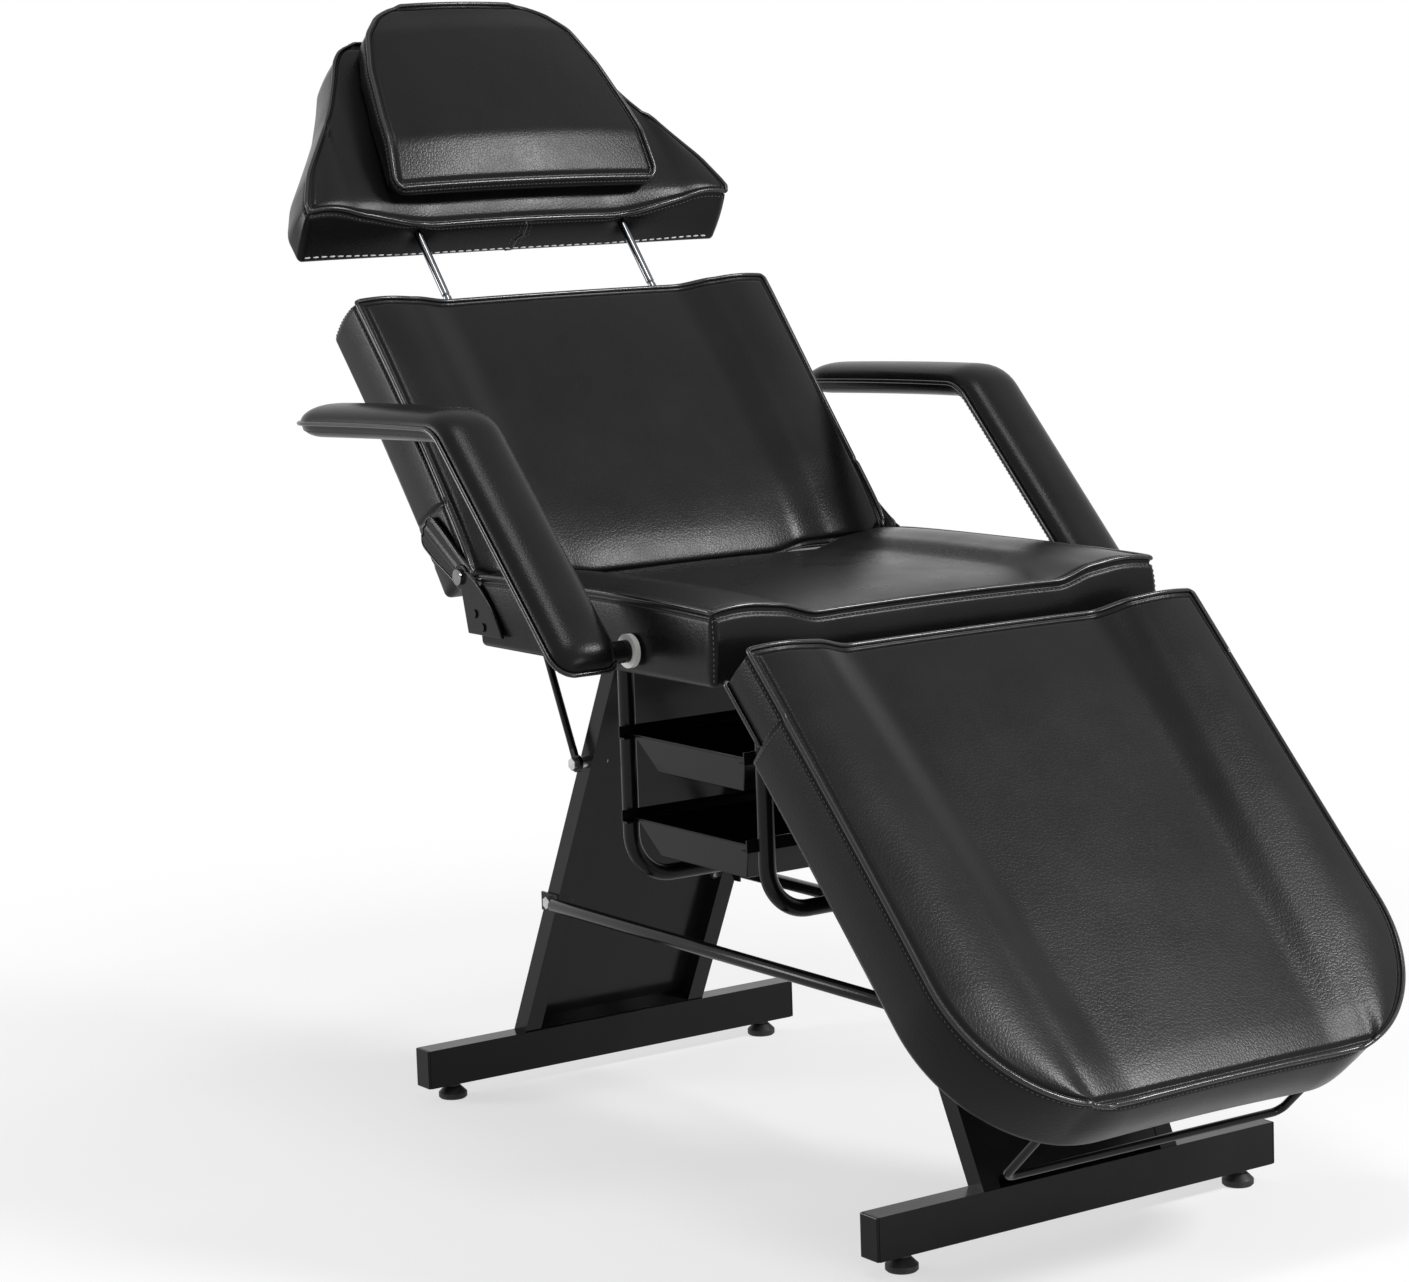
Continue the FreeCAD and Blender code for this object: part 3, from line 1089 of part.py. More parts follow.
# Assembly
tie_reach = upright_y(dim.tie_height)
for end_name, end_sign in ENDS:
    make_floor_bar(f"{end_name}_floor_bar", end_sign)
make_leg_frame("rear_leg_frame", 1, [(tie_reach, dim.tie_height), (dim.back_strut_y, dim.back_strut_z)])
make_leg_frame("front_leg_frame", -1, [(-tie_reach, dim.tie_height)])
for side_name, side_sign in SIDES:
    make_tie_bar(f"{side_name}_tie_bar", side_sign)
make_end_caps()
make_feet()
make_bolts()
make_seat_frame()
make_seat()
make_backrest()
make_back_hinges()
make_headrest()
make_posts()
make_pillow()
make_leg_rest()
make_leg_hinge()
make_lift_bar()
back_anchor = Vector(0, dim.back_strut_y, dim.back_strut_z)
back_pin = BACK.multVec(Vector(0, dim.back_strut_along - dim.back_hinge_below, -dim.back_strut_stand))
leg_anchor = Vector(0, -tie_reach, dim.tie_height)
leg_pin = LEG.multVec(Vector(0, dim.leg_length - dim.leg_strut_along, -dim.leg_strut_stand))
strut_pair("back", back_anchor, back_pin, 0, "back_rod_length", "back_tube_length", "back_tube_bore",
           "back_tube_radius")
strut_pair("leg", leg_anchor, leg_pin, dim.leg_strut_trim, "leg_rod_length", "leg_tube_length", "leg_tube_bore",
           "leg_tube_radius")
strut_clevis(BACK, dim.back_strut_along - dim.back_hinge_below, 0, "back_strut_stand", "back_strut_brackets")
strut_clevis(LEG, dim.leg_length - dim.leg_strut_along, 0, "leg_strut_stand", "leg_strut_brackets")
make_armrests()
make_hoops()
make_rails()
make_trays()
doc.recompute()

# The origin is on the floor under the middle of the chair's overall length
box = FreeCAD.BoundBox()
for node in nodes.values():
    box.add(node.Shape.BoundBox)
for node in nodes.values():
    node.Placement.Base = node.Placement.Base - Vector(0, box.Center.y, 0)
doc.recompute()
print("overall", box.XLength, box.YLength, box.ZLength, "shift", box.Center.y)

for obj in doc.Objects:
    if "Invalid" in obj.State or "Error" in obj.State:
        raise RuntimeError(f"{obj.Name} {obj.Label} failed: {obj.State}")
for label, node in nodes.items():
    if node.Shape.isNull() or not node.Shape.isValid() or not node.Shape.Solids:
        raise RuntimeError(f"{label} has no valid solid")
os.makedirs("parts", exist_ok=True)
for label, node in nodes.items():
    node.Shape.exportStep(f"parts/{label}.step")
print(len(nodes), "sub-parts written")
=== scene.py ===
"""Looks of a treatment chair: stuffed leather pads, piping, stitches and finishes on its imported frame.

Lengths are metres in the row frame: +Z up, +Y towards the head end, +X to the sitter's left.
"""
import json
import logging
import math
from dataclasses import dataclass, field
from enum import Enum

import bpy
import numpy as np
from mathutils import Matrix, Vector
from numpy.typing import NDArray


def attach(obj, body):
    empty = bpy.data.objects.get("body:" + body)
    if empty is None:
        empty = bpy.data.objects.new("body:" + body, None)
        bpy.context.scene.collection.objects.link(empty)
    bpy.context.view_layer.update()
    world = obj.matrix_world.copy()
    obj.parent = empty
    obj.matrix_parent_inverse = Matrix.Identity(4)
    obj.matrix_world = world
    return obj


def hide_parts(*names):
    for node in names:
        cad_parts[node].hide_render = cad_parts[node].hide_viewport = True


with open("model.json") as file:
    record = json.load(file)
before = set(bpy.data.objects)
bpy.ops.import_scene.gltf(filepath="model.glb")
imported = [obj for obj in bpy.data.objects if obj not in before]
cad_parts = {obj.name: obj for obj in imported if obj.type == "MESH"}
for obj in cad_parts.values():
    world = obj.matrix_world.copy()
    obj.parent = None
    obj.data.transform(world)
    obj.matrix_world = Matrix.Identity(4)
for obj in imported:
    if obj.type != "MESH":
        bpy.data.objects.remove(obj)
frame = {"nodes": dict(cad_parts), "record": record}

Array = NDArray[np.float64]
Indices = NDArray[np.int64]
Pair = tuple[float, float]
Triple = tuple[float, float, float]
Floats = tuple[float, ...]
Faces = list[list[int]]
Shell = tuple[Array, Faces]
Tree = bpy.types.NodeTree
Socket = bpy.types.NodeSocket
Material = bpy.types.Material
Piece = bpy.types.Object
log = logging.getLogger("treatment_chair")

MM = 0.001
TINY = 1e-9
# Y in the row frame of the zero that the pads are laid out from.
MIDDLE_Y = -0.03996
# Rows of a grid that lie nearer than this are merged.
CLOSEST_ROWS = 0.45 * MM
# A stitch as a rod: places in shares of its length, and its thickness there in shares of the thread's.
STITCH_TAPER = ((-0.5, 0.25), (-0.32, 1.0), (0.32, 1.0), (0.5, 0.25))
STITCH_SIDES = 5
# How far a stitch's middle stands off the cover.
STITCH_PROUD = 0.2 * MM


class Side(Enum):
    """Sides of the chair as the sitter sees them; the value is the sign of X."""

    LEFT = 1.0
    RIGHT = -1.0


class Cut(Enum):
    """How the ends of a tube are made."""

    CLOSED_LOOP = "loop"
    CAPPED = "capped"


# Small tools for curves, surfaces and meshes

def held(value: Array) -> Array:
    """The value, held between 0 and 1."""
    return np.clip(value, 0.0, 1.0)


def smooth(low: float, high: float, value: Array) -> Array:
    """Ease from 0 at low to 1 at high: three times the share squared less twice its cube.

    Args:
        low: value where the step starts.
        high: value where the step ends.
        value: places to work it out at.

    Returns:
        The eased share at each place.
    """
    share = held((value - low) / (high - low))
    return share * share * (3.0 - 2.0 * share)


def bell(distance: Array, width: float) -> Array:
    """Bell curve: e to the power of minus the squared share of distance in width."""
    return np.exp(-(distance / width) ** 2)


def unit(vectors: Array) -> Array:
    """Vectors of length 1 in the same directions."""
    return vectors / np.maximum(np.linalg.norm(vectors, axis=1, keepdims=True), TINY)


def graded(length: float, coarse: float, fine: float, zone: float, extra: Floats = ()) -> Array:
    """Places along a length: fine steps inside a zone at both ends, coarse steps between.

    Args:
        length: whole length.
        coarse: step in the middle.
        fine: step in the end zones.
        zone: length of an end zone.
        extra: further places to include.

    Returns:
        Rising places from 0 to the length.
    """
    ends = max(2, math.ceil(zone / fine))
    middle = max(2, math.ceil((length - 2 * zone) / coarse))
    places = np.concatenate([
        np.linspace(0.0, zone, ends, endpoint=False),
        np.linspace(zone, length - zone, middle, endpoint=False),
        np.linspace(length - zone, length, ends + 1),
        np.array(extra),
    ])
    places = np.sort(places)
    return places[np.concatenate([[True], np.diff(places) > CLOSEST_ROWS])]


def rounded(points: Array, low: Array, high: Array, radius: float) -> Array:
    """Round the edges of a box: each point goes to the given distance from the box drawn in by the radius.

    Args:
        points: points on the box.
        low: low corner of the box.
        high: high corner of the box.
        radius: edge radius.

    Returns:
        The moved points.
    """
    inner = np.clip(points, low + radius, high - radius)
    return inner + radius * unit(points - inner)


def sheet_quads(index: Indices, flip: bool = False) -> Indices:
    """Quads between neighbouring rows and columns of a table of point numbers.

    Args:
        index: table of point numbers.
        flip: turn the quads to face the other way.

    Returns:
        One row of four point numbers for each quad.
    """
    quads = np.stack([index[:-1, :-1], index[1:, :-1], index[1:, 1:], index[:-1, 1:]], -1).reshape(-1, 4)
    return quads[:, ::-1] if flip else quads


def sleeve(index: Indices, loop: bool = False) -> Faces:
    """Faces of a skin over rings of points: quads between the rings and a face over each end.

    Args:
        index: point numbers, one row for each ring.
        loop: join the last ring to the first and leave out the ends.

    Returns:
        Point numbers of each face.
    """
    rows = np.vstack([index, index[:1]]) if loop else index
    faces = sheet_quads(np.hstack([rows, rows[:, :1]]), True).tolist()
    return faces if loop else faces + [index[0, ::-1].tolist(), index[-1].tolist()]


def rings(ahead: Array, normals: Array, sides: int) -> Array:
    """Circles square to a path: cosine of the turn along the normal plus its sine along the side direction.

    Args:
        ahead: unit direction of the path at each point.
        normals: a direction off the path at each point.
        sides: points round a circle.

    Returns:
        Offsets of length 1 by place along the path and place round the circle.
    """
    off = unit(normals - ahead * np.sum(normals * ahead, axis=1, keepdims=True))
    turn = np.linspace(0.0, 2 * math.pi, sides, endpoint=False)[:, None]
    return np.cos(turn) * off[:, None, :] + np.sin(turn) * np.cross(ahead, off)[:, None, :]


def make_mesh(name: str, points: Array, faces: Faces, materials: list[Material],
              slots: Indices | None = None) -> Piece:
    """Put points and faces into a smooth mesh object at the origin.

    Args:
        name: the piece's name.
        points: its points.
        faces: point numbers of each face.
        materials: its materials in order.
        slots: which of them each face has.

    Returns:
        The new object.
    """
    mesh = bpy.data.meshes.new(name)
    mesh.from_pydata(points.tolist(), [], faces)
    mesh.polygons.foreach_set("use_smooth", np.ones(len(mesh.polygons), dtype=bool))
    for material in materials:
        mesh.materials.append(material)
    if slots is not None:
        mesh.polygons.foreach_set("material_index", slots.astype(np.int32))
    mesh.update()
    piece = bpy.data.objects.new(name, mesh)
    bpy.context.scene.collection.objects.link(piece)
    return piece


def tube(path: Array, normals: Array, radius: float, cut: Cut, sides: int = 8) -> Shell:
    """Carry a circle along a path: the centre plus the radius times the circle's offsets.

    Args:
        path: points of the centre line.
        normals: a direction off the path at each point.
        radius: the circle's radius.
        cut: a closed loop, or ends closed by a face.
        sides: points round the circle.

    Returns:
        Points and faces.
    """
    loop = cut is Cut.CLOSED_LOOP
    ahead = unit(np.roll(path, -1, 0) - np.roll(path, 1, 0) if loop else np.gradient(path, axis=0))
    points = path[:, None, :] + radius * rings(ahead, normals, sides)
    index = np.arange(len(path) * sides).reshape(len(path), sides)
    return points.reshape(-1, 3), sleeve(index, loop)


def along_path(path: Array, places: Array, values: Array | None = None) -> Array:
    """Points of a path, or values given at them, at lengths along it, straight between its own points.

    Args:
        path: points of the path.
        places: lengths from its start.
        values: what to read in place of the points.

    Returns:
        One row for each place.
    """
    steps = np.concatenate([[0.0], np.cumsum(np.linalg.norm(np.diff(path, axis=0), axis=1))])
    read = path if values is None else values
    return np.stack([np.interp(places, steps, column) for column in read.T], -1)


def stitch_row(path: Array, normals: Array, pitch: float, length: float, radius: float
               ) -> Shell:
    """A row of thread stitches: short tapered rods laid along a path at an even pitch.

    Args:
        path: points that the row follows.
        normals: outward direction at each of them.
        pitch: distance between stitches.
        length: length of one stitch.
        radius: half the thread's thickness.

    Returns:
        Points and faces.
    """
    total = float(np.sum(np.linalg.norm(np.diff(path, axis=0), axis=1)))
    middles = np.arange(0.5 * pitch, total - 0.5 * length, pitch)
    offsets, widths = np.array(STITCH_TAPER).T
    ahead = unit(along_path(path, middles + 0.5 * length) - along_path(path, middles - 0.5 * length))
    ring = rings(ahead, along_path(path, middles, normals), STITCH_SIDES)
    centre = along_path(path, middles)[:, None, :] + (offsets * length)[:, None] * ahead[:, None, :]
    points = centre[:, :, None, :] + (widths * radius)[:, None, None] * ring[:, None, :, :]
    index = np.arange(len(offsets) * STITCH_SIDES).reshape(-1, STITCH_SIDES)
    starts = index.size * np.arange(len(middles))[:, None, None]
    quads = (sheet_quads(np.hstack([index, index[:, :1]]), True) + starts).reshape(-1, 4)
    caps = (np.stack([index[0, ::-1], index[-1]]) + starts).reshape(-1, STITCH_SIDES)
    return points.reshape(-1, 3), quads.tolist() + caps.tolist()


def joined(parts: list[Shell]) -> Shell:
    """Several sets of points and faces as one.

    Args:
        parts: the sets.

    Returns:
        All points, and faces numbered to match.
    """
    starts = np.cumsum([0] + [len(points) for points, _ in parts[:-1]])
    faces = [[int(corner + start) for corner in face] for (_, own), start in zip(parts, starts) for face in own]
    return np.vstack([points for points, _ in parts]), faces


class Lattice:
    """The skin of a box of points, with the quads between them and the lines along its edges."""

    def __init__(self, across: Array, along: Array, up: Array) -> None:
        """Number the points that lie on the box's skin.

        Args:
            across: places along X.
            along: places along Y.
            up: places along Z.
        """
        grid = np.stack(np.meshgrid(across, along, up, indexing="ij"), -1)
        skin = np.zeros(grid.shape[:3], dtype=bool)
        skin[[0, -1]] = True
        skin[:, [0, -1]] = True
        skin[:, :, [0, -1]] = True
        self.across, self.along, self.up = across, along, up
        self.index = np.full(grid.shape[:3], -1, dtype=np.int64)
        self.index[skin] = np.arange(int(skin.sum()))
        self.points = grid[skin]

    def faces(self) -> tuple[Indices, Indices]:
        """Quads of the six sides, facing outwards.

        Returns:
            The quads, and 1 for each one on the underside.
        """
        index = self.index
        under = sheet_quads(index[:, :, 0], True)
        rest = np.vstack([
            sheet_quads(index[:, :, -1]), sheet_quads(index[-1]), sheet_quads(index[0], True),
            sheet_quads(index[:, -1], True), sheet_quads(index[:, 0])])
        return np.vstack([under, rest]), np.concatenate([np.ones(len(under)), np.zeros(len(rest))]).astype(np.int64)

    def ring(self, level: int) -> Indices:
        """Point numbers once round the four walls at a level, anticlockwise from above."""
        index = self.index[:, :, level]
        return np.concatenate([index[:-1, 0], index[-1, :-1], index[:0:-1, -1], index[0, :0:-1]])

    def level(self, height: float) -> int:
        """Number of the level nearest to a height."""
        return int(np.argmin(np.abs(self.up - height)))

    def row(self, place: float) -> int:
        """Number of the row nearest to a place along."""
        return int(np.argmin(np.abs(self.along - place)))


# Finishes

def linear(colour: str) -> tuple[float, float, float, float]:
    """Turn an sRGB hex colour to linear.

    Args:
        colour: such as "#1c1c1d".

    Returns:
        Linear red, green, blue and 1.
    """
    values = np.array([int(colour[start:start + 2], 16) for start in (1, 3, 5)]) / 255.0
    lin = np.where(values <= 0.04045, values / 12.92, ((values + 0.055) / 1.055) ** 2.4)
    return (float(lin[0]), float(lin[1]), float(lin[2]), 1.0)


def empty_tree(owner: Material | bpy.types.World) -> Tree:
    """Turn on the nodes of a material or world and clear them.

    Args:
        owner: the material or world.

    Returns:
        Its empty tree.
    """
    owner.use_nodes = True
    owner.node_tree.nodes.clear()
    return owner.node_tree


def add(tree: Tree, kind: str, settings: dict | None = None, links: dict | None = None
        ) -> bpy.types.Node:
    """Add a node, set its properties and inputs, and link other sockets to its inputs.

    Args:
        tree: the node tree.
        kind: the node's type name without ShaderNode.
        settings: property or input names, or input numbers, with their values.
        links: input names or numbers with the sockets that feed them.

    Returns:
        The node.
    """
    node = tree.nodes.new(f"ShaderNode{kind}")
    for key, value in (settings or {}).items():
        if isinstance(key, str) and hasattr(node, key):
            setattr(node, key, value)
        else:
            node.inputs[key].default_value = value
    for key, socket in (links or {}).items():
        tree.links.new(socket, node.inputs[key])
    return node


class Grain(Enum):
    """The relief that a material's making leaves on it."""

    FINE = "fine noise of coated, moulded or plated surfaces"
    EMBOSSED = "cells of a pressed leather grain, with long soft pulls"
    SPUN = "a grid of pressed points over fibres"
    STREAKED = "streaks along a board"


@dataclass(frozen=True)
class Finish:
    """A surface: its colour, how much the colour varies, its gloss and the relief that its making leaves.

    Attributes:
        name: the material's common name.
        colour: sRGB hex colour.
        second: sRGB hex colour that it varies to.
        rough: low and high roughness.
        metallic: 1 for a bare metal.
        ior: index of refraction.
        shine: strength of the mirror-like part, 0.5 for a clean surface.
        grain_mm: size of the relief's cells.
        relief_mm: height of the relief.
        cloud_mm: size of the patches of colour and gloss.
        grain: kind of relief.
        pull_mm: length of the soft pulls in an embossed grain.
    """

    name: str
    colour: str
    second: str
    rough: Pair
    metallic: float = 0.0
    ior: float = 1.5
    shine: float = 0.5
    grain_mm: float = 1.0
    relief_mm: float = 0.05
    cloud_mm: float = 60.0
    grain: Grain = Grain.FINE
    pull_mm: float = 34.0

    def relief(self, tree: Tree, place: Socket) -> Socket:
        """Height pattern of the surface, by its grain.

        Args:
            tree: the material's tree.
            place: Object coordinates.

        Returns:
            The height socket.
        """
        scale = 1000.0 / self.grain_mm
        if self.grain is Grain.EMBOSSED:
            cells = add(tree, "TexVoronoi", {"feature": "DISTANCE_TO_EDGE", "Scale": scale},
                        {"Vector": place})
            pores = add(tree, "MapRange", {"From Max": 0.22, "To Max": 0.7}, {"Value": cells.outputs[0]})
            pull = add(tree, "TexNoise",
                       {"Scale": 1000.0 / self.pull_mm, "Detail": 2.0, "Distortion": 0.6}, {"Vector": place})
            return add(tree, "Math", {"operation": "MULTIPLY_ADD", 1: 1.0},
                       {0: pull.outputs[0], 2: pores.outputs[0]}).outputs[0]
        if self.grain is Grain.SPUN:
            points = add(tree, "TexVoronoi", {"Scale": scale, "Randomness": 0.15}, {"Vector": place})
            fibres = add(tree, "TexNoise", {"Scale": 2.5 * scale, "Detail": 2.0}, {"Vector": place})
            return add(tree, "Math", {"operation": "ADD"},
                       {0: points.outputs[0], 1: fibres.outputs[0]}).outputs[0]
        detail = 3.0
        if self.grain is Grain.STREAKED:
            detail = 6.0
            place = add(tree, "Mapping", {"Scale": (1.0, 0.08, 0.08)}, {"Vector": place}).outputs[0]
        return add(tree, "TexNoise", {"Scale": scale, "Detail": detail}, {"Vector": place}).outputs[0]

    def material(self) -> Material:
        """Make the material once and give it back each time.

        Returns:
            The material.
        """
        made = bpy.data.materials.get(self.name)
        if made is not None:
            return made
        made = bpy.data.materials.new(self.name)
        tree = empty_tree(made)
        place = add(tree, "TexCoord").outputs["Object"]
        cloud = add(tree, "TexNoise", {"Scale": 1000.0 / self.cloud_mm, "Detail": 4.0, "Roughness": 0.6},
                    {"Vector": place})
        tint = add(tree, "Mix", {"data_type": "RGBA", 6: linear(self.colour), 7: linear(self.second)},
                   {0: cloud.outputs[0]})
        gloss = add(tree, "MapRange", {"To Min": self.rough[0], "To Max": self.rough[1], "From Min": 0.3,
                                                 "From Max": 0.7}, {"Value": cloud.outputs[0]})
        bump = add(tree, "Bump", {"Strength": 1.0, "Distance": self.relief_mm * MM},
                   {"Height": self.relief(tree, place)})
        shader = add(tree, "BsdfPrincipled",
                     {"Metallic": self.metallic, "IOR": self.ior, "Specular IOR Level": self.shine},
                     {"Base Color": tint.outputs[2], "Roughness": gloss.outputs[0], "Normal": bump.outputs[0]})
        add(tree, "OutputMaterial", None, {"Surface": shader.outputs[0]})
        return made


# Embossed PU: satin, nearly black; the 1 mm grain is drawn at four times its size so that it shows.
LEATHER = Finish("grained_pu_leather", "#0f0f0f", "#131314", (0.25, 0.33), shine=0.12, grain_mm=4.2,
                 relief_mm=0.08, cloud_mm=90.0, grain=Grain.EMBOSSED)
# Piping cord in the same cover pulled tight: smoother and glossier than the panels.
PIPING = Finish("piping_pu_leather", "#0e0e0e", "#121213", (0.18, 0.25), shine=0.42, grain_mm=2.0,
                relief_mm=0.02, cloud_mm=40.0, grain=Grain.EMBOSSED)
# Bonded polyester thread: dull, a shade paler than the cover.
THREAD = Finish("polyester_thread", "#3c3c3c", "#4c4c4c", (0.5, 0.65), grain_mm=0.8, relief_mm=0.05, cloud_mm=6.0)
# Pale basting thread that closes the headrest's underside.
PALE_THREAD = Finish("pale_thread", "#b9b9b6", "#cfcfcc", (0.55, 0.7), grain_mm=0.8, relief_mm=0.05, cloud_mm=6.0)
# Dust cover cloth stapled over the boards: no gloss.
DUST_COVER = Finish("dust_cover_cloth", "#121212", "#191919", (0.85, 0.95), grain_mm=2.4, relief_mm=0.12,
                    cloud_mm=25.0, grain=Grain.SPUN)
# Powder coat on steel: semi-gloss with a faint orange peel, drawn at 2 mm.
POWDER_COAT = Finish("powder_coated_steel", "#101011", "#151516", (0.16, 0.24), shine=0.17, grain_mm=2.0,
                     relief_mm=0.02, cloud_mm=45.0)
# Zinc plate: bright grey with soft streaks from the bath.
ZINC = Finish("zinc_plated_steel", "#a9abad", "#c4c6c8", (0.24, 0.36), metallic=1.0, grain_mm=1.2, relief_mm=0.03,
              cloud_mm=9.0)
# Black nickel plate on the hinge studs: a grey, slightly smoky gleam.
BLACK_NICKEL = Finish("black_nickel_plate", "#6d6e70", "#808184", (0.18, 0.26), metallic=1.0, grain_mm=1.0,
                      relief_mm=0.02, cloud_mm=8.0)
# Polished chrome: near mirror, with faint wipe marks.
CHROME = Finish("polished_chrome", "#606265", "#757779", (0.06, 0.12), metallic=1.0, grain_mm=6.0, relief_mm=0.004,
                cloud_mm=14.0)
# Moulded nylon washer: milky, slightly waxy.
NYLON = Finish("moulded_nylon", "#c9cac7", "#d6d7d4", (0.38, 0.48), ior=1.53, grain_mm=1.6, relief_mm=0.03,
               cloud_mm=12.0)
# Moulded ABS with a fine spark texture, drawn at 1.4 mm.
ABS = Finish("moulded_abs", "#0d0d0e", "#121213", (0.14, 0.22), ior=1.54, shine=0.13, grain_mm=1.4, relief_mm=0.04,
             cloud_mm=50.0)
# Moulded rubber feet: dull black, a little dusty.
RUBBER = Finish("moulded_rubber", "#131313", "#1a1a1a", (0.5, 0.65), ior=1.52, shine=0.35, grain_mm=1.5,
                relief_mm=0.05, cloud_mm=10.0)
# Bare ply under the covers: pale, with long streaks along the board.
PLY = Finish("birch_plywood", "#8f7450", "#a88c63", (0.6, 0.75), grain_mm=5.0, relief_mm=0.1, cloud_mm=30.0,
             grain=Grain.STREAKED)

SLOT_FINISHES = {"upholstery": LEATHER, "frame_paint": POWDER_COAT, "chrome": CHROME, "zinc": ZINC, "nylon": NYLON,
                 "black_plastic": ABS, "rubber": RUBBER, "plywood": PLY}


# Pads

@dataclass
class Pad:
    """A stuffed pad: a box of points with round edges, contoured, filled by cloth and dressed with piping.

    Attributes:
        name: name of the sub-assembly and start of its pieces' names.
        node: the CAD node that the cover stands for.
        body: the CAD body that it rides on.
        origin: the pad's own zero, on its underside at its near end.
        lean: turn about X in degrees.
        half: half its width.
        length: its length along its own Y.
        thickness: its height at the bolsters.
        radius: edge radius under the piping.
        bulge: how far the side walls swell at mid height.
        end_bulge: how far the end walls swell at mid height.
        draw: how far the walls pull in between corners.
        crown: how far the top rises from its ends to its middle.
        bolster: rise of the side bolsters.
        crease: half width of the channel's floor.
        slope: width of the channel's sides.
        drop: depth of the channel.
        step: coarse step of the cover's grid.
        pressure: air pressure that fills the cover.
        cap: the most that filling may move a point.
        even: how often the filling's movement is averaged with its neighbours.
        piping: radius of the piping cord.
        gutter: depth of the furrow that the piping's seam pulls beside it.
        corner: radius of the round corners at the near end.
        hollow: how far the far end wall is drawn in at mid height.
        spread: reach of the averaging that eases the outline.
        places: stations of the outline in shares of the length.
        widths: width at each station in shares of the full width.
    """

    name: str = ""
    node: str = ""
    body: str = ""
    origin: Triple = (0.0, 0.0, 0.0)
    lean: float = 0.0
    half: float = 0.3
    length: float = 0.4
    thickness: float = 0.08
    radius: float = 0.007
    bulge: float = 0.0025
    end_bulge: float = 0.0045
    draw: float = 0.004
    crown: float = 0.004
    bolster: float = 0.004
    crease: float = 0.160
    slope: float = 0.056
    drop: float = 0.013
    step: float = 0.0075
    pressure: float = 4.0
    cap: float = 0.005
    even: int = 150
    piping: float = 0.0026
    gutter: float = 0.0022
    corner: float = 0.0
    hollow: float = 0.0
    spread: float = 0.005
    places: Floats = (0.0, 1.0)
    widths: Floats = (1.0, 1.0)
    lattice: Lattice = field(init=False, repr=False)
    cover: Piece = field(init=False, repr=False)
    points: Array = field(init=False, repr=False)

    def breaks(self) -> Floats:
        """Further places along the pad where its shape changes sharply."""
        return ()

    def half_at(self, along: Array) -> Array:
        """Half width: read between stations, averaged over three near places, less quarter circles at the corners.

        Args:
            along: places along.

        Returns:
            The half width at each place.
        """
        near = np.clip(along[:, None] + np.array([-self.spread, 0.0, self.spread]), 0.0, self.length)
        width = self.half * np.interp(near, np.array(self.places) * self.length, np.array(self.widths)).mean(axis=1)
        back = np.clip(self.corner - along, 0.0, self.corner)
        return width - self.corner + np.sqrt(np.maximum(self.corner ** 2 - back ** 2, 0.0))

    def crease_at(self, along: Array) -> Array:
        """Half width of the channel's floor at each place along."""
        return np.full_like(along, self.crease)

    def drop_at(self, along: Array) -> Array:
        """Depth of the channel at each place along."""
        return np.full_like(along, self.drop)

    def underside(self, along: Array) -> Array:
        """Height of the underside at each place along."""
        return np.zeros_like(along)

    def depth_at(self, across: Array, along: Array) -> Array:
        """Height of the top: bolsters as half waves, less the channel with eased sides, plus a long low crown.

        Args:
            across: places across.
            along: places along.

        Returns:
            The height at each place.
        """
        side = np.abs(across)
        crease = self.crease_at(along)
        inner = crease + self.slope
        half = np.maximum(self.half_at(along), inner + 1 * MM)
        hump = np.sin(math.pi * held((side - inner) / (half - inner)))
        wall = smooth(0.0, 1.0, (side - crease) / self.slope)
        floor = 2 * MM * held(1.0 - (side / crease) ** 2)
        rise = np.sqrt(held(np.sin(math.pi * held(along / self.length))))
        top = self.thickness - self.bolster - self.crown * (1.0 - rise)
        return top + self.bolster * hump + (floor - self.drop_at(along)) * (1.0 - wall)

    def shape(self, points: Array) -> Array:
        """Contour the box of points in the pad's own frame.

        The edges are rounded, the width follows half_at, the height follows depth_at, and each wall swells by a
        half wave over its height and pulls in by a half wave between its corners. A furrow shaped as a bell curve
        runs beside the top edge, on the top and on the walls. The far end is hollowed by a half wave.

        Args:
            points: points on the box.

        Returns:
            The contoured points.
        """
        low = np.array([-self.half, 0.0, 0.0])
        high = np.array([self.half, self.length, self.thickness])
        box = rounded(points, low, high, self.radius)
        along, up = box[:, 1], box[:, 2] / self.thickness
        across = box[:, 0] * self.half_at(along) / self.half
        side = smooth(self.half - self.radius, self.half, np.abs(box[:, 0])) * np.sign(box[:, 0])
        end = (smooth(self.length - self.radius, self.length, along) - smooth(-self.radius, 0.0, -along))
        swell = np.sin(math.pi * up)
        pull = self.draw * np.sin(math.pi * held(along / self.length))
        across = across + side * (self.bulge * swell - pull)
        run = along + end * (self.end_bulge * swell - 0.5 * self.draw * np.cos(0.5 * math.pi * box[:, 0] / self.half))
        under = self.underside(along)
        height = under + up * (self.depth_at(across, along) - under)
        inset = np.minimum(self.half - np.abs(points[:, 0]), np.minimum(points[:, 1], self.length - points[:, 1]))
        fall = self.thickness - points[:, 2]
        furrow = self.gutter * bell(inset + fall - self.radius, 0.42 * self.radius)
        top = fall < 1e-6
        height = height - np.where(top, furrow, 0.0)
        across = across - np.where(top, 0.0, furrow) * side
        run = run - np.where(top, 0.0, furrow) * end
        hollow = self.hollow * smooth(self.length - self.radius, self.length, points[:, 1])
        run = run - hollow * np.sin(math.pi * points[:, 2] / self.thickness)
        return np.stack([across, run, height], -1)

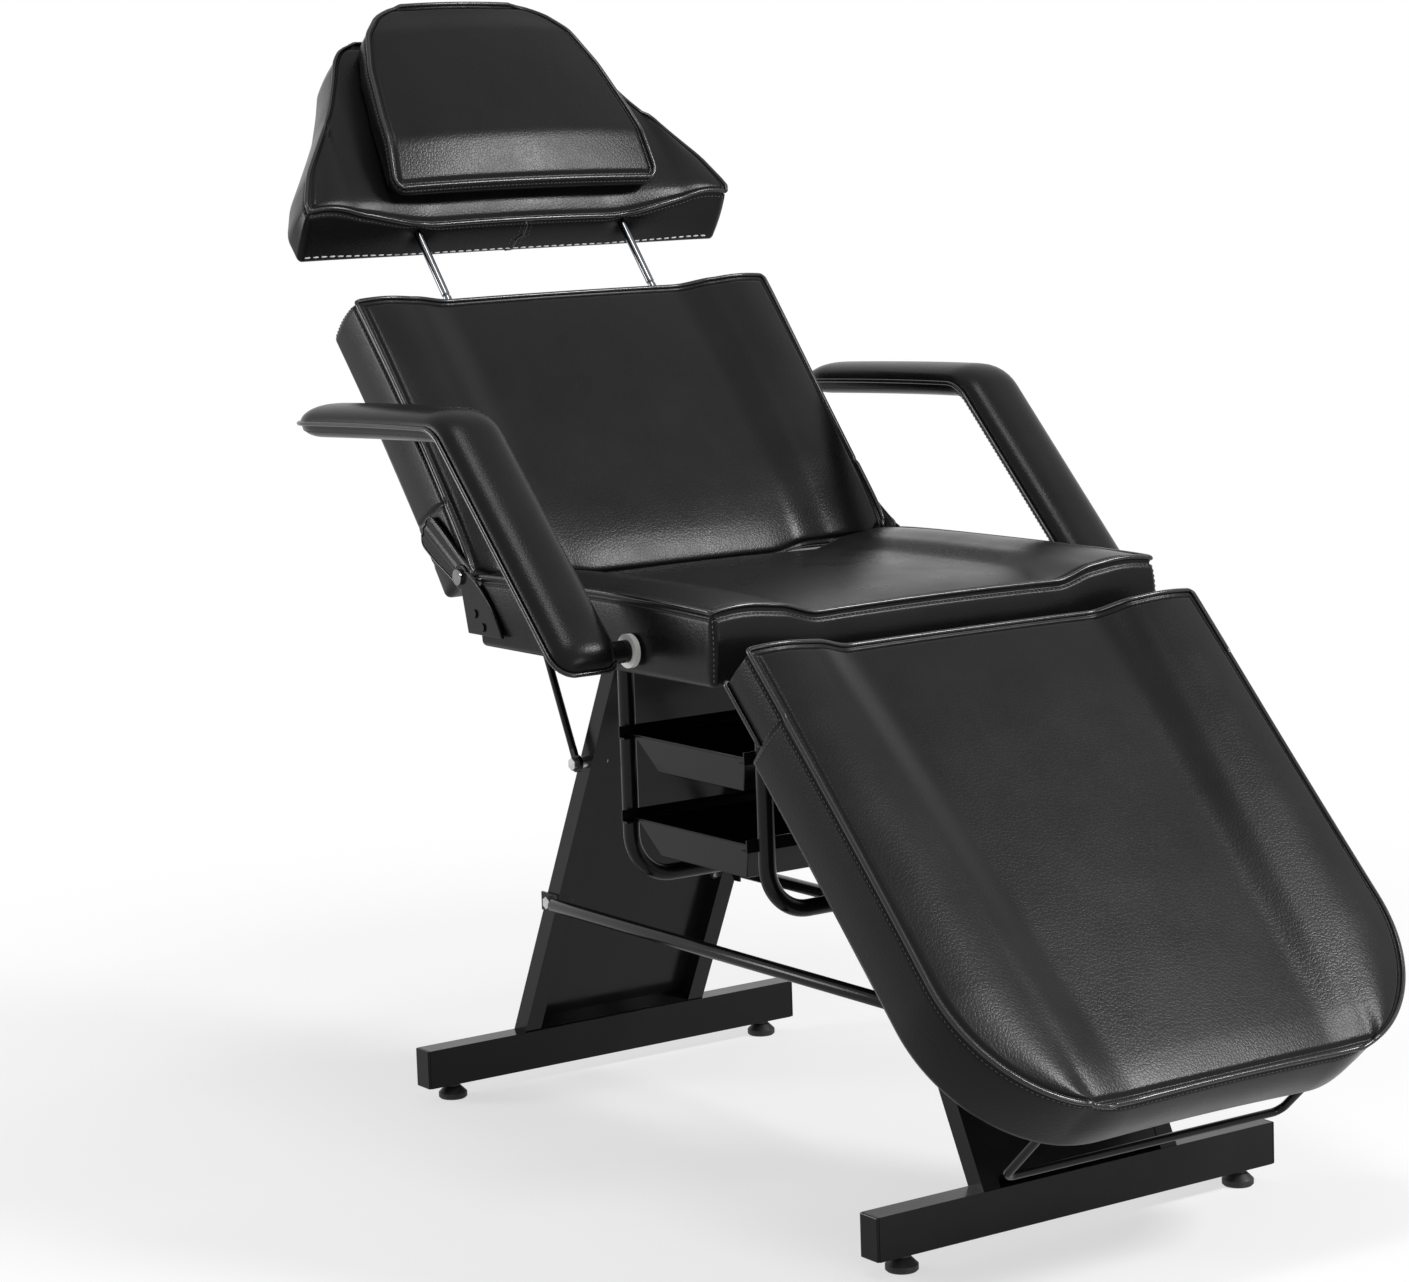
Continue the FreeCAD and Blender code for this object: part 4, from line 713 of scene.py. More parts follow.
    def place(self, local: Array) -> Array:
        """Turn and move points from the pad's own frame to the row frame.

        Args:
            local: points in the pad's frame.

        Returns:
            Points in the row frame.
        """
        turn = math.radians(self.lean)
        along, up = local[:, 1], local[:, 2]
        return np.stack([
            self.origin[0] + local[:, 0],
            self.origin[1] + along * math.cos(turn) - up * math.sin(turn),
            self.origin[2] + along * math.sin(turn) + up * math.cos(turn)], -1)

    def pinned(self) -> Indices:
        """Numbers of the points that seams and the board hold: the underside, the piping ring and the corners.

        Returns:
            Point numbers.
        """
        index = self.lattice.index
        return np.unique(np.concatenate([
            index[:, :, 0].ravel(), self.lattice.ring(-1), index[0, 0], index[-1, 0], index[0, -1], index[-1, -1]]))

    def build(self) -> None:
        """Make the cover's mesh."""
        across = graded(2 * self.half, self.step, 1.5 * MM, 2.2 * self.radius) - self.half
        along = graded(self.length, self.step, 1.5 * MM, 2.2 * self.radius, self.breaks())
        up = graded(self.thickness, self.step, 1.5 * MM, 2.0 * self.radius)
        self.lattice = Lattice(across, along, up)
        self.points = self.place(self.shape(self.lattice.points))
        quads, under = self.lattice.faces()
        self.cover = make_mesh(f"{self.name}_cover", self.points, quads.tolist(),
                               [LEATHER.material(), DUST_COVER.material()], under)

    def settle(self, filled: Array) -> None:
        """Take the filled shape: movement held to the cap, then averaged along the mesh's edges.

        A neighbour counts by one over its distance. The averaging leaves the swelling and takes out the puckers.

        Args:
            filled: points after the simulation.
        """
        move = filled - self.points
        size = np.maximum(np.linalg.norm(move, axis=1, keepdims=True), TINY)
        move = move * np.minimum(1.0, self.cap / size)
        ends = np.empty(2 * len(self.cover.data.edges), dtype=np.int32)
        self.cover.data.edges.foreach_get("vertices", ends)
        here, there = np.concatenate([ends[0::2], ends[1::2]]), np.concatenate([ends[1::2], ends[0::2]])
        weight = 1.0 / np.maximum(np.linalg.norm(self.points[here] - self.points[there], axis=1), 0.1 * MM)
        count = np.bincount(here, weight, len(move))[:, None]
        held = self.pinned()
        for _ in range(self.even):
            near = np.stack([np.bincount(here, weight * move[there, axis], len(move)) for axis in range(3)], -1)
            move = 0.5 * move + 0.5 * near / count
            move[held] = 0.0
        self.points = self.points + move

    def finish_cover(self) -> None:
        """Put the final points into the cover and fix it to its body."""
        self.cover.data.vertices.foreach_set("co", self.points.astype(np.float32).ravel())
        self.cover.data.update()
        self.fix(self.cover)
        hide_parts(self.node)

    def fix(self, piece: Piece) -> None:
        """Ride a piece on the pad's body.

        Args:
            piece: the piece.
        """
        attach(piece, self.body)
        log.info("%s on %s", piece.name, self.body)

    def normals(self) -> Array:
        """Outward direction at each point of the cover.

        Returns:
            One unit vector for each point.
        """
        values = np.empty(len(self.points) * 3, dtype=np.float32)
        self.cover.data.vertices.foreach_get("normal", values)
        return values.reshape(-1, 3).astype(float)

    def pipe(self, name: str, numbers: Indices, cut: Cut, proud: float = 0.7) -> None:
        """Lay a piping cord along a line of the cover.

        Args:
            name: end of the piece's name.
            numbers: the line's point numbers.
            cut: loop or open.
            proud: how far the cord's middle stands off the cover, in radii.
        """
        normals = self.normals()[numbers]
        path = self.points[numbers] + normals * (self.piping * proud)
        points, faces = tube(path, normals, self.piping, cut)
        self.fix(make_mesh(f"{self.name}_{name}", points, faces, [PIPING.material()]))

    def sew(self, name: str, lines: list[Indices], finish: Finish = THREAD, pitch: float = 0.0056,
            length: float = 0.0032, radius: float = 0.0005) -> None:
        """Sew rows of stitches along lines of the cover.

        Args:
            name: end of the piece's name.
            lines: point numbers of each line.
            finish: the thread.
            pitch: distance between stitches.
            length: length of a stitch.
            radius: half the thread's thickness.
        """
        normals = self.normals()
        rows = [stitch_row(self.points[line] + normals[line] * STITCH_PROUD, normals[line], pitch, length, radius)
                for line in lines]
        points, faces = joined(rows)
        self.fix(make_mesh(f"{self.name}_{name}", points, faces, [finish.material()]))

    def piped_edge(self) -> tuple[Indices, Cut]:
        """The line that the piping follows, and whether it closes."""
        return self.lattice.ring(-1), Cut.CLOSED_LOOP

    def dress(self) -> None:
        """Finish the cover, lay the piping along its top edge and sew the row under it."""
        self.finish_cover()
        self.pipe("piping", *self.piped_edge())
        ring = self.lattice.ring(self.lattice.level(self.thickness - self.radius - 3 * MM))
        self.sew("stitches", [np.append(ring, ring[0])])


@dataclass
class Seat(Pad):
    """Seat pad: level, with its front corners sewn upright."""

    name: str = "seat"
    node: str = "seat_cushion"
    body: str = "base"
    origin: Triple = (0.0, MIDDLE_Y - 0.239, 0.574)
    half: float = 0.2968
    length: float = 0.452
    thickness: float = 0.086
    end_bulge: float = 0.006
    cap: float = 0.004
    hollow: float = 0.010

    def piped_edge(self) -> tuple[Indices, Cut]:
        """Both sides and the front; the rear edge is turned in plain under the back."""
        top = self.lattice.index[:, :, -1]
        return np.concatenate([top[0, :0:-1], top[:-1, 0], top[-1]]), Cut.CAPPED

    def dress(self) -> None:
        """Dress the pad and sew its front corners."""
        super().dress()
        index = self.lattice.index
        self.sew("corner_stitches", [index[0, 0, 4:-4], index[-1, 0, 4:-4]])


@dataclass
class Back(Pad):
    """Back pad, with a slanted seam on each side wall and loose folds round the hinge."""

    name: str = "back"
    node: str = "back_cushion"
    body: str = "backrest"
    origin: Triple = (0.0, MIDDLE_Y + 0.29307, 0.618606)
    lean: float = 51.0
    half: float = 0.2918
    length: float = 0.371
    thickness: float = 0.080
    drop: float = 0.010
    seam_top: float = 0.082
    seam_base: float = 0.099
    seam_width: float = 0.0022
    seam_depth: float = 0.0024
    pouch: float = 0.0015
    fold_width: float = 0.0035
    fold_depth: float = 0.0026
    front_fold: Pair = (0.065, 0.062)
    rear_fold: Pair = (0.046, 0.040)
    lip: float = 0.030
    lip_side: float = 0.6
    lip_drop: float = 0.009
    lip_reach: float = 0.050
    lip_middle: float = 0.018
    middle: Pair = (0.120, 0.185)

    def breaks(self) -> Floats:
        """Close rows where the side walls fold."""
        return tuple(np.linspace(0.016, 0.104, 34))

    def depth_at(self, across: Array, along: Array) -> Array:
        """Height of the top, rolled down at the lower end over the seat by a cubic.

        Args:
            across: places across.
            along: places along.

        Returns:
            The height at each place.
        """
        share = held(1.0 - along / self.lip_reach)
        return super().depth_at(across, along) - self.lip_drop * share ** 3

    def shape(self, points: Array) -> Array:
        """Contour the pad, hang its lower front edge over the seat, then fold the side walls near the hinge.

        The lip is an eased shift along the pad that grows with height, most in the middle and least at the sides.
        A seam is a groove along a slanted line; below it the wall stands out over the hinge's ear, with two furrows
        that run from the seam to the hinge's corner. Groove and furrows are bell curves.

        Args:
            points: points on the box.

        Returns:
            The contoured points.
        """
        local = super().shape(points)
        out, along, up = np.abs(points[:, 0]), local[:, 1], local[:, 2] / self.thickness
        wall = smooth(self.half - 5 * MM, self.half - 2 * MM, out)
        wall = wall * np.sin(math.pi * np.clip(up, 0.001, 0.999)) ** 0.35
        seam = self.seam_base + (self.seam_top - self.seam_base) * up
        groove = self.seam_depth * bell(along - seam, self.seam_width)
        below = smooth(0.0, 6 * MM, seam - along)
        front = self.front_fold[0] - self.front_fold[1] * smooth(0.15, 1.0, up)
        rear = self.rear_fold[0] - self.rear_fold[1] * held((up - 0.1) / 0.6) ** 1.4
        folds = 0.9 * bell(along - front, self.fold_width) + 0.8 * bell(along - rear, self.fold_width)
        local[:, 0] += np.sign(points[:, 0]) * wall * (below * (self.pouch - self.fold_depth * folds) - groove)
        side = smooth(self.half - 30 * MM, self.half - 8 * MM, out)
        lip = self.lip * (1.0 - (1.0 - self.lip_side) * side) + self.lip_middle * (1.0 - smooth(*self.middle, out))
        local[:, 1] -= lip * smooth(0.25, 1.0, up) * (1.0 - smooth(0.0, self.lip_reach, points[:, 1]))
        return local

    def piped_edge(self) -> tuple[Indices, Cut]:
        """Both sides and the top; the lower edge is turned in plain behind the seat."""
        top = self.lattice.index[:, :, -1]
        return np.concatenate([top[-1, :-1], top[:0:-1, -1], top[0, ::-1]]), Cut.CAPPED

    def dress(self) -> None:
        """Dress the pad and sew its top corners."""
        super().dress()
        index = self.lattice.index
        self.sew("corner_stitches", [index[0, -1, 4:-4], index[-1, -1, 4:-4]])


@dataclass
class HingeCover(Pad):
    """Leather tongue over the back hinge's ear: round at the stud, wider where the back's side seam takes it in."""

    side: Side = Side.LEFT
    body: str = "backrest"
    stud: Pair = (MIDDLE_Y + 0.240, 0.650)
    lean: float = 31.0
    inner: float = 0.2946
    half: float = 0.0205
    stud_half: float = 0.0158
    foot: float = 0.0158
    length: float = 0.112
    thickness: float = 0.0056
    radius: float = 0.0022
    bulge: float = 0.0
    end_bulge: float = 0.0
    draw: float = 0.0
    crown: float = 0.0004
    bolster: float = 0.0006
    drop: float = 0.0
    crease: float = 0.004
    slope: float = 0.004
    step: float = 0.004
    cap: float = 0.0006
    piping: float = 0.0011
    gutter: float = 0.0005

    def __post_init__(self) -> None:
        """Name the cover by its side."""
        word = self.side.name.lower()
        self.name, self.node = f"{word}_hinge_cover", f"{word}_back_ear"

    def breaks(self) -> Floats:
        """Close rows round both ends.

        Returns:
            Places along the tongue.
        """
        turns = np.linspace(0.0, 0.5 * math.pi, 18)
        ends = self.foot * (1.0 - np.cos(turns))
        return tuple(ends) + tuple(self.length - 0.9 * ends)

    def half_at(self, along: Array) -> Array:
        """Half width: a circle round the stud, a straight taper, and a flatter round at the far end.

        Args:
            along: places along.

        Returns:
            The half width at each place.
        """
        reach = held(along / self.foot)
        ends = held((self.length - along) / self.foot)
        taper = self.stud_half + (self.half - self.stud_half) * smooth(self.foot, 0.8 * self.length, along)
        near = np.sqrt(np.maximum(1.0 - (1.0 - reach) ** 2, 0.002))
        far = np.maximum(1.0 - (1.0 - ends) ** 3.0, 0.02) ** 0.4
        return taper * near * far

    def place(self, local: Array) -> Array:
        """Stand the tongue up beside the back, its thickness outwards and its length along the ear.

        Args:
            local: points in the tongue's own frame.

        Returns:
            Points in the row frame.
        """
        turn = math.radians(self.lean)
        across = -local[:, 0] * self.side.value
        along = local[:, 1] - self.foot
        return np.stack([
            self.side.value * (self.inner + local[:, 2]),
            self.stud[0] + along * math.cos(turn) - across * math.sin(turn),
            self.stud[1] + along * math.sin(turn) + across * math.cos(turn)], -1)

    def dress(self) -> None:
        """Finish the cover and lay a thin cord round its edge."""
        self.finish_cover()
        self.pipe("edge_cord", self.lattice.ring(-1), Cut.CLOSED_LOOP, 0.3)


@dataclass
class LegRest(Pad):
    """Leg pad: round foot corners, a channel that fades towards the foot, and a notch under the hinge end."""

    name: str = "leg_rest"
    node: str = "leg_cushion"
    body: str = "leg_rest"
    origin: Triple = (0.0, MIDDLE_Y - 0.628023, 0.154917)
    lean: float = 46.8
    half: float = 0.2975
    length: float = 0.565
    thickness: float = 0.085
    crown: float = 0.0015
    drop: float = 0.016
    cap: float = 0.0035
    hollow: float = 0.0095
    corner: float = 0.160
    foot_crease: float = 0.128
    notch: float = 0.085
    notch_height: float = 0.0225

    def breaks(self) -> Floats:
        """Close rows round the foot corners and at the notch.

        Returns:
            Places along the pad.
        """
        turns = np.linspace(0.0, 0.5 * math.pi, 40)
        step = self.length - self.notch
        return tuple(self.corner * (1.0 - np.cos(turns))) + (step - 1 * MM, step + 1 * MM)

    def crease_at(self, along: Array) -> Array:
        """The creases draw together towards the foot."""
        return self.foot_crease + (self.crease - self.foot_crease) * held(along / self.length)

    def drop_at(self, along: Array) -> Array:
        """The channel is full at the hinge and rises evenly to a shallow foot."""
        return self.drop * (0.15 + 0.85 * held(along / self.length) ** 0.8)

    def underside(self, along: Array) -> Array:
        """Step up over the hinge."""
        step = self.length - self.notch
        return self.notch_height * smooth(step - 1 * MM, step + 1 * MM, along)

    def dress(self) -> None:
        """Dress the pad and sew the seam across each side wall at the notch."""
        super().dress()
        index = self.lattice.index
        row = self.lattice.row(self.length - self.notch - 6 * MM)
        self.sew("side_stitches", [index[side, row + shift, 4:-4] for side in (0, -1) for shift in (0, 2)])
        step = self.lattice.row(self.length - self.notch + 2 * MM)
        low = self.lattice.level(9 * MM)
        for name, side in (("right", 0), ("left", -1)):
            self.pipe(f"{name}_notch_piping", index[side, step:, low], Cut.CAPPED)


@dataclass
class Headrest(Pad):
    """Headrest pad: wide at the neck, narrow at the crown, with a slanted lower wall and a neck dip."""

    name: str = "headrest"
    node: str = "headrest_cushion"
    body: str = "headrest"
    origin: Triple = (0.0, MIDDLE_Y + 0.588593, 0.993082)
    lean: float = 51.0
    half: float = 0.3035
    length: float = 0.283
    thickness: float = 0.074
    end_bulge: float = 0.002
    crease: float = 0.120
    slope: float = 0.110
    drop: float = 0.007
    cap: float = 0.004
    bevel: float = 0.032
    slant: float = 0.45
    roll_half: float = 0.130
    roll_ease: float = 0.160
    neck_roll: float = 0.010
    neck_reach: float = 0.060
    dip: Pair = (0.03, 0.16)
    crease_share: float = 0.62
    post_x: float = 0.147
    post_up: float = 0.037
    pucker: float = 0.005
    pucker_reach: float = 0.013
    spread: float = 0.006
    places: Floats = (0.0, 0.13, 0.28, 0.45, 0.62, 0.78, 0.9, 0.965, 1.0)
    widths: Floats = (0.99, 1.0, 0.94, 0.83, 0.72, 0.64, 0.585, 0.53, 0.43)

    def breaks(self) -> Floats:
        """Close rows at the narrow end, where the outline turns."""
        return tuple(self.length - np.linspace(0.0, 0.04, 20) ** 1.5 * 5.0)

    def crease_at(self, along: Array) -> Array:
        """The dip narrows with the pad."""
        return np.minimum(self.crease, self.crease_share * self.half_at(along))

    def drop_at(self, along: Array) -> Array:
        """The dip is at the neck and fades upwards."""
        return self.drop * (1.0 - smooth(*self.dip, along))

    def depth_at(self, across: Array, along: Array) -> Array:
        """Height of the top, rolled down to the neck between the posts by a parabola.

        Args:
            across: places across.
            along: places along.

        Returns:
            The height at each place.
        """
        share = held(1.0 - along / self.neck_reach)
        middle = 1.0 - smooth(self.roll_half, self.roll_half + self.roll_ease, np.abs(across))
        return super().depth_at(across, along) - self.neck_roll * middle * share ** 2

    def shape(self, points: Array) -> Array:
        """Contour the pad, slant its lower wall, and pucker it round the posts.

        The slant is full at the corners and eases to a share of it between the posts; a pucker is a bell-shaped
        dent.

        Args:
            points: points on the box.

        Returns:
            The contoured points.
        """
        local = super().shape(points)
        station = self.places[1] * self.length
        near = held(1.0 - points[:, 1] / station)
        corner = smooth(self.roll_half, self.roll_half + self.roll_ease, np.abs(local[:, 0]))
        lean = self.bevel * (self.slant + (1.0 - self.slant) * corner)
        local[:, 1] += near * lean * local[:, 2] / self.thickness
        reach = np.hypot(np.abs(local[:, 0]) - self.post_x, local[:, 2] - self.post_up)
        wall = smooth(-3 * MM, 0.0, -points[:, 1])
        local[:, 1] += wall * self.pucker * bell(reach, self.pucker_reach)
        return local

    def dress(self) -> None:
        """Dress the pad, sew the middle seam of the lower wall and the pale row along its lower edge."""
        super().dress()
        index = self.lattice.index
        middle = len(self.lattice.across) // 2
        levels = np.arange(3, len(self.lattice.up) - 3)
        slant = middle - 2 + np.round(3.0 * levels / len(self.lattice.up)).astype(int)
        self.pipe("middle_seam", index[slant, 0, levels], Cut.CAPPED, -0.45)
        self.sew("middle_stitches", [index[slant - 1, 0, levels], index[slant + 1, 0, levels]])
        low = self.lattice.level(10 * MM)
        self.sew("lower_stitches", [index[4:-4, 0, low]], PALE_THREAD, pitch=0.0112, length=0.0078, radius=0.0011)


@dataclass
class Pillow(Pad):
    """Head pillow: D-shaped, with a bevel along its straight lower edge."""

    name: str = "pillow"
    node: str = "headrest_pillow"
    body: str = "headrest"
    origin: Triple = (0.0, MIDDLE_Y + 0.5548, 1.0694)
    lean: float = 51.0
    half: float = 0.188
    length: float = 0.271
    thickness: float = 0.038
    radius: float = 0.006
    draw: float = 0.002
    bevel_length: float = 0.062
    bevel_drop: float = 0.020
    corner: float = 0.016
    cap: float = 0.004
    places: Floats = (0.0, 0.05, 0.35, 0.62, 0.82, 0.93, 0.985, 1.0)
    widths: Floats = (1.0, 1.0, 0.95, 0.88, 0.78, 0.64, 0.47, 0.36)

    def breaks(self) -> Floats:
        """Close rows at the round end and round the lower corners."""
        lower = self.corner * (1.0 - np.cos(np.linspace(0.0, 0.5 * math.pi, 12)))
        return tuple(self.length - np.linspace(0.0, 0.05, 22) ** 1.5 * 4.4) + tuple(lower)

    def depth_at(self, across: Array, along: Array) -> Array:
        """Level top with a crown that falls to the sides as a parabola, and a bevel eased down to the lower edge.

        Args:
            across: places across.
            along: places along.

        Returns:
            The height at each place.
        """
        side = held(np.abs(across) / np.maximum(self.half_at(along), 1 * MM))
        bevel = self.bevel_drop * held(1.0 - along / self.bevel_length) ** 1.08
        end = self.crown * smooth(self.length - 0.05, self.length, along)
        return self.thickness - self.crown * side ** 2 - bevel - end


@dataclass
class Armrest(Pad):
    """Armrest pad: a crowned section carried from a pointed rear tip round the elbow to a round foot."""

    side: Side = Side.LEFT
    middle: float = 0.360
    width: float = 0.0385
    top: float = 0.0205
    belly: float = 0.0175
    tuck: float = 0.006
    rear: Pair = (MIDDLE_Y + 0.458, 0.828)
    tip_drop: float = 0.009
    elbow: Pair = (MIDDLE_Y + 0.125, 0.828)
    pivot: Pair = (MIDDLE_Y - 0.095, 0.600)
    bend: float = 0.046
    past: float = 0.020
    around: int = 56
    cap: float = 0.003
    tip_length: float = 0.062
    foot_length: float = 0.030
    foot_width: float = 0.42
    top_power: float = 2.3
    belly_power: float = 4.2
    least: float = 0.02
    rows: int = field(init=False, default=0)

    def __post_init__(self) -> None:
        """Name the pad by its side."""
        word = self.side.name.lower()
        self.name, self.node, self.body = f"{word}_armrest", f"{word}_armrest_pad", f"{word}_armrest"

    def path(self) -> tuple[Array, Array, Array]:
        """Centre line: a straight run, an arc of the bend's radius, and a straight run down the slope.

        Returns:
            Places, centre points and upward directions.
        """
        fall = np.array(self.pivot) - np.array(self.elbow)
        turn = math.atan2(-fall[1], -fall[0])
        tangent = self.bend * math.tan(turn / 2)
        first = self.rear[0] - self.elbow[0] - tangent
        arc = self.bend * turn
        last = float(np.hypot(*fall)) - tangent + self.past
        total = first + arc + last
        ends = 0.05
        places = np.concatenate([
            ends * (1 - np.cos(np.linspace(0.02, 0.5 * math.pi, 22))),
            np.linspace(ends, total - ends, 96)[1:-1],
            total - ends * (1 - np.cos(np.linspace(0.5 * math.pi, 0.02, 22)))])
        angle = turn * held((places - first) / arc)
        before = np.minimum(places, first)
        after = np.maximum(places - first - arc, 0.0)
        run = self.rear[0] - before - self.bend * np.sin(angle) - after * math.cos(turn)
        height = self.rear[1] - self.bend * (1 - np.cos(angle)) - after * math.sin(turn)
        height = height - self.tip_drop * held(1.0 - places / first) ** 1.5
        centre = np.stack([np.full_like(run, self.side.value * self.middle), run, height], -1)
        up = np.stack([np.zeros_like(angle), -np.sin(angle), np.cos(angle)], -1)
        return places, centre, up

    def build(self) -> None:
        """Make the cover: a superellipse section, fuller above the seam and boxier below, shrunk at both ends."""
        places, centre, up = self.path()
        tip = 1 - (1 - held(places / self.tip_length)) ** 2.4
        foot = np.sqrt(held(1 - (1 - held((places[-1] - places) / self.foot_length)) ** 2.6))
        wide = np.maximum(tip ** 0.62, self.least) * (self.foot_width + (1 - self.foot_width) * foot)
        tall = np.maximum(tip, self.least) * np.maximum(foot, self.least)
        turn = np.linspace(0.0, 2 * math.pi, self.around, endpoint=False)
        over = np.sin(turn) >= 0
        power = 2.0 / np.where(over, self.top_power, self.belly_power)
        across, lift = (np.sign(wave) * np.abs(wave) ** power for wave in (np.cos(turn), np.sin(turn)))
        lift = lift * np.where(over, self.top, self.belly)
        half = self.width - self.tuck * held(-lift / self.belly)
        points = centre[:, None, :] + (across * half)[None, :, None] * wide[:, None, None] * np.array([1.0, 0, 0])
        points = points + lift[None, :, None] * tall[:, None, None] * up[:, None, :]
        self.rows = len(places)
        self.points = points.reshape(-1, 3)
        self.cover = make_mesh(f"{self.name}_cover", self.points, sleeve(self.table()), [LEATHER.material()])

    def table(self) -> Indices:
        """Point numbers by row along the arm and place round it."""
        return np.arange(self.rows * self.around).reshape(self.rows, self.around)

    def pinned(self) -> Indices:
        """The two seams and both ends are held.

        Returns:
            Point numbers, with the line along the belly.
        """
        index = self.table()
        half = self.around // 2
        return np.unique(np.concatenate([index[:, 0], index[:, half], index[:3].ravel(), index[-3:].ravel(),
                                         index[:, 3 * self.around // 4]]))

    def dress(self) -> None:
        """Finish the cover, lay piping along both seams and sew a row under each."""
        self.finish_cover()
        index = self.table()
        half = self.around // 2
        loop = np.concatenate([index[2:-1, 0], index[-2:1:-1, half]])
        self.pipe("piping", loop, Cut.CLOSED_LOOP, 0.75)
        self.sew("stitches", [index[6:-6, self.around - 3], index[6:-6, half + 3]])


FILL_FRAMES = 20
# Coated cloth: light, stiff to pull and soft to bend.
FILL_CLOTH = {"quality": 4, "mass": 0.3, "tension_stiffness": 30.0, "compression_stiffness": 30.0,
              "shear_stiffness": 10.0, "bending_stiffness": 2.0, "use_pressure": True, "vertex_group_mass": "seams"}


def swell(pads: list[Pad]) -> None:
    """Fill the covers: cloth with air pressure inside, no weight, held at the seams, over twenty frames.

    Args:
        pads: pads whose covers are built.
    """
    scene = bpy.context.scene
    scene.frame_start, scene.frame_end = 1, FILL_FRAMES
    for pad in pads:
        seams = pad.cover.vertex_groups.new(name="seams")
        seams.add(pad.pinned().tolist(), 1.0, "REPLACE")
        cloth = pad.cover.modifiers.new("fill", "CLOTH")
        cloth.point_cache.frame_start, cloth.point_cache.frame_end = 1, FILL_FRAMES
        for key, value in FILL_CLOTH.items():
            setattr(cloth.settings, key, value)
        cloth.settings.uniform_pressure_force = pad.pressure
        cloth.settings.effector_weights.gravity = 0.0
        cloth.collision_settings.use_collision = False
    for step in range(1, FILL_FRAMES + 1):
        scene.frame_set(step)
    graph = bpy.context.evaluated_depsgraph_get()
    for pad in pads:
        filled = np.empty(len(pad.points) * 3, dtype=np.float32)
        pad.cover.evaluated_get(graph).data.vertices.foreach_get("co", filled)
        pad.settle(filled.reshape(-1, 3).astype(float))
    for pad in pads:
        pad.cover.modifiers.clear()
        pad.cover.vertex_groups.clear()
    scene.frame_set(1)


# Frame and stage

@dataclass
class Hardware:
    """The frame's rigid pieces: CAD nodes that keep their shape and take their slot's finish.

    Attributes:
        ease: radius that deburring leaves on the edges of cut and moulded pieces.
        eased: nodes that have such edges in sight.
    """

    ease: float = 0.0012
    eased: tuple[str, ...] = ("rear_floor_bar", "front_floor_bar", "floor_bar_end_caps", "rear_leg_frame",
                              "front_leg_frame", "left_tie_bar", "right_tie_bar", "upper_tray", "lower_tray",
                              "left_back_bracket", "right_back_bracket")

    def ease_edges(self, node: Piece) -> None:
        """Join a node's loose triangles, merge the flat ones and round its edges, all in modifiers.

        Args:
            node: the CAD node.
        """
        weld = node.modifiers.new("joined", "WELD")
        weld.merge_threshold = 0.02 * MM
        flats = node.modifiers.new("flats", "DECIMATE")
        flats.decimate_type, flats.angle_limit = "DISSOLVE", math.radians(0.5)
        edges = node.modifiers.new("eased_edges", "BEVEL")
        edges.width, edges.segments, edges.limit_method = self.ease, 2, "ANGLE"
        edges.angle_limit = math.radians(40.0)

    def dress(self) -> None:
        """Give each CAD node the material of its record slot, and ease the edges of the cut pieces."""
        slots = {row["node"]: row["material_slot"] for row in frame["record"]["subparts"]}
        for name, node in frame["nodes"].items():
            finish = BLACK_NICKEL if name == "back_hinge_studs" else SLOT_FINISHES[slots[name]]
            node.data.materials.clear()
            node.data.materials.append(finish.material())
            if name in self.eased:
                self.ease_edges(node)
        log.info("%d frame pieces dressed", len(slots))


@dataclass(frozen=True)
class Lamp:
    """A square softbox.

    Attributes:
        name: the lamp's name.
        place: where it hangs.
        aim: the point that it faces.
        size: its side.
        watts: its power.
    """

    name: str
    place: Triple
    aim: Triple
    size: float
    watts: float

    def hang(self) -> None:
        """Hang the lamp and turn it to its aim."""
        data = bpy.data.lights.new(self.name, "AREA")
        data.size, data.energy = self.size, self.watts
        light = bpy.data.objects.new(self.name, data)
        light.location = self.place
        light.rotation_euler = (Vector(self.aim) - Vector(self.place)).to_track_quat("-Z", "Y").to_euler()
        bpy.context.scene.collection.objects.link(light)


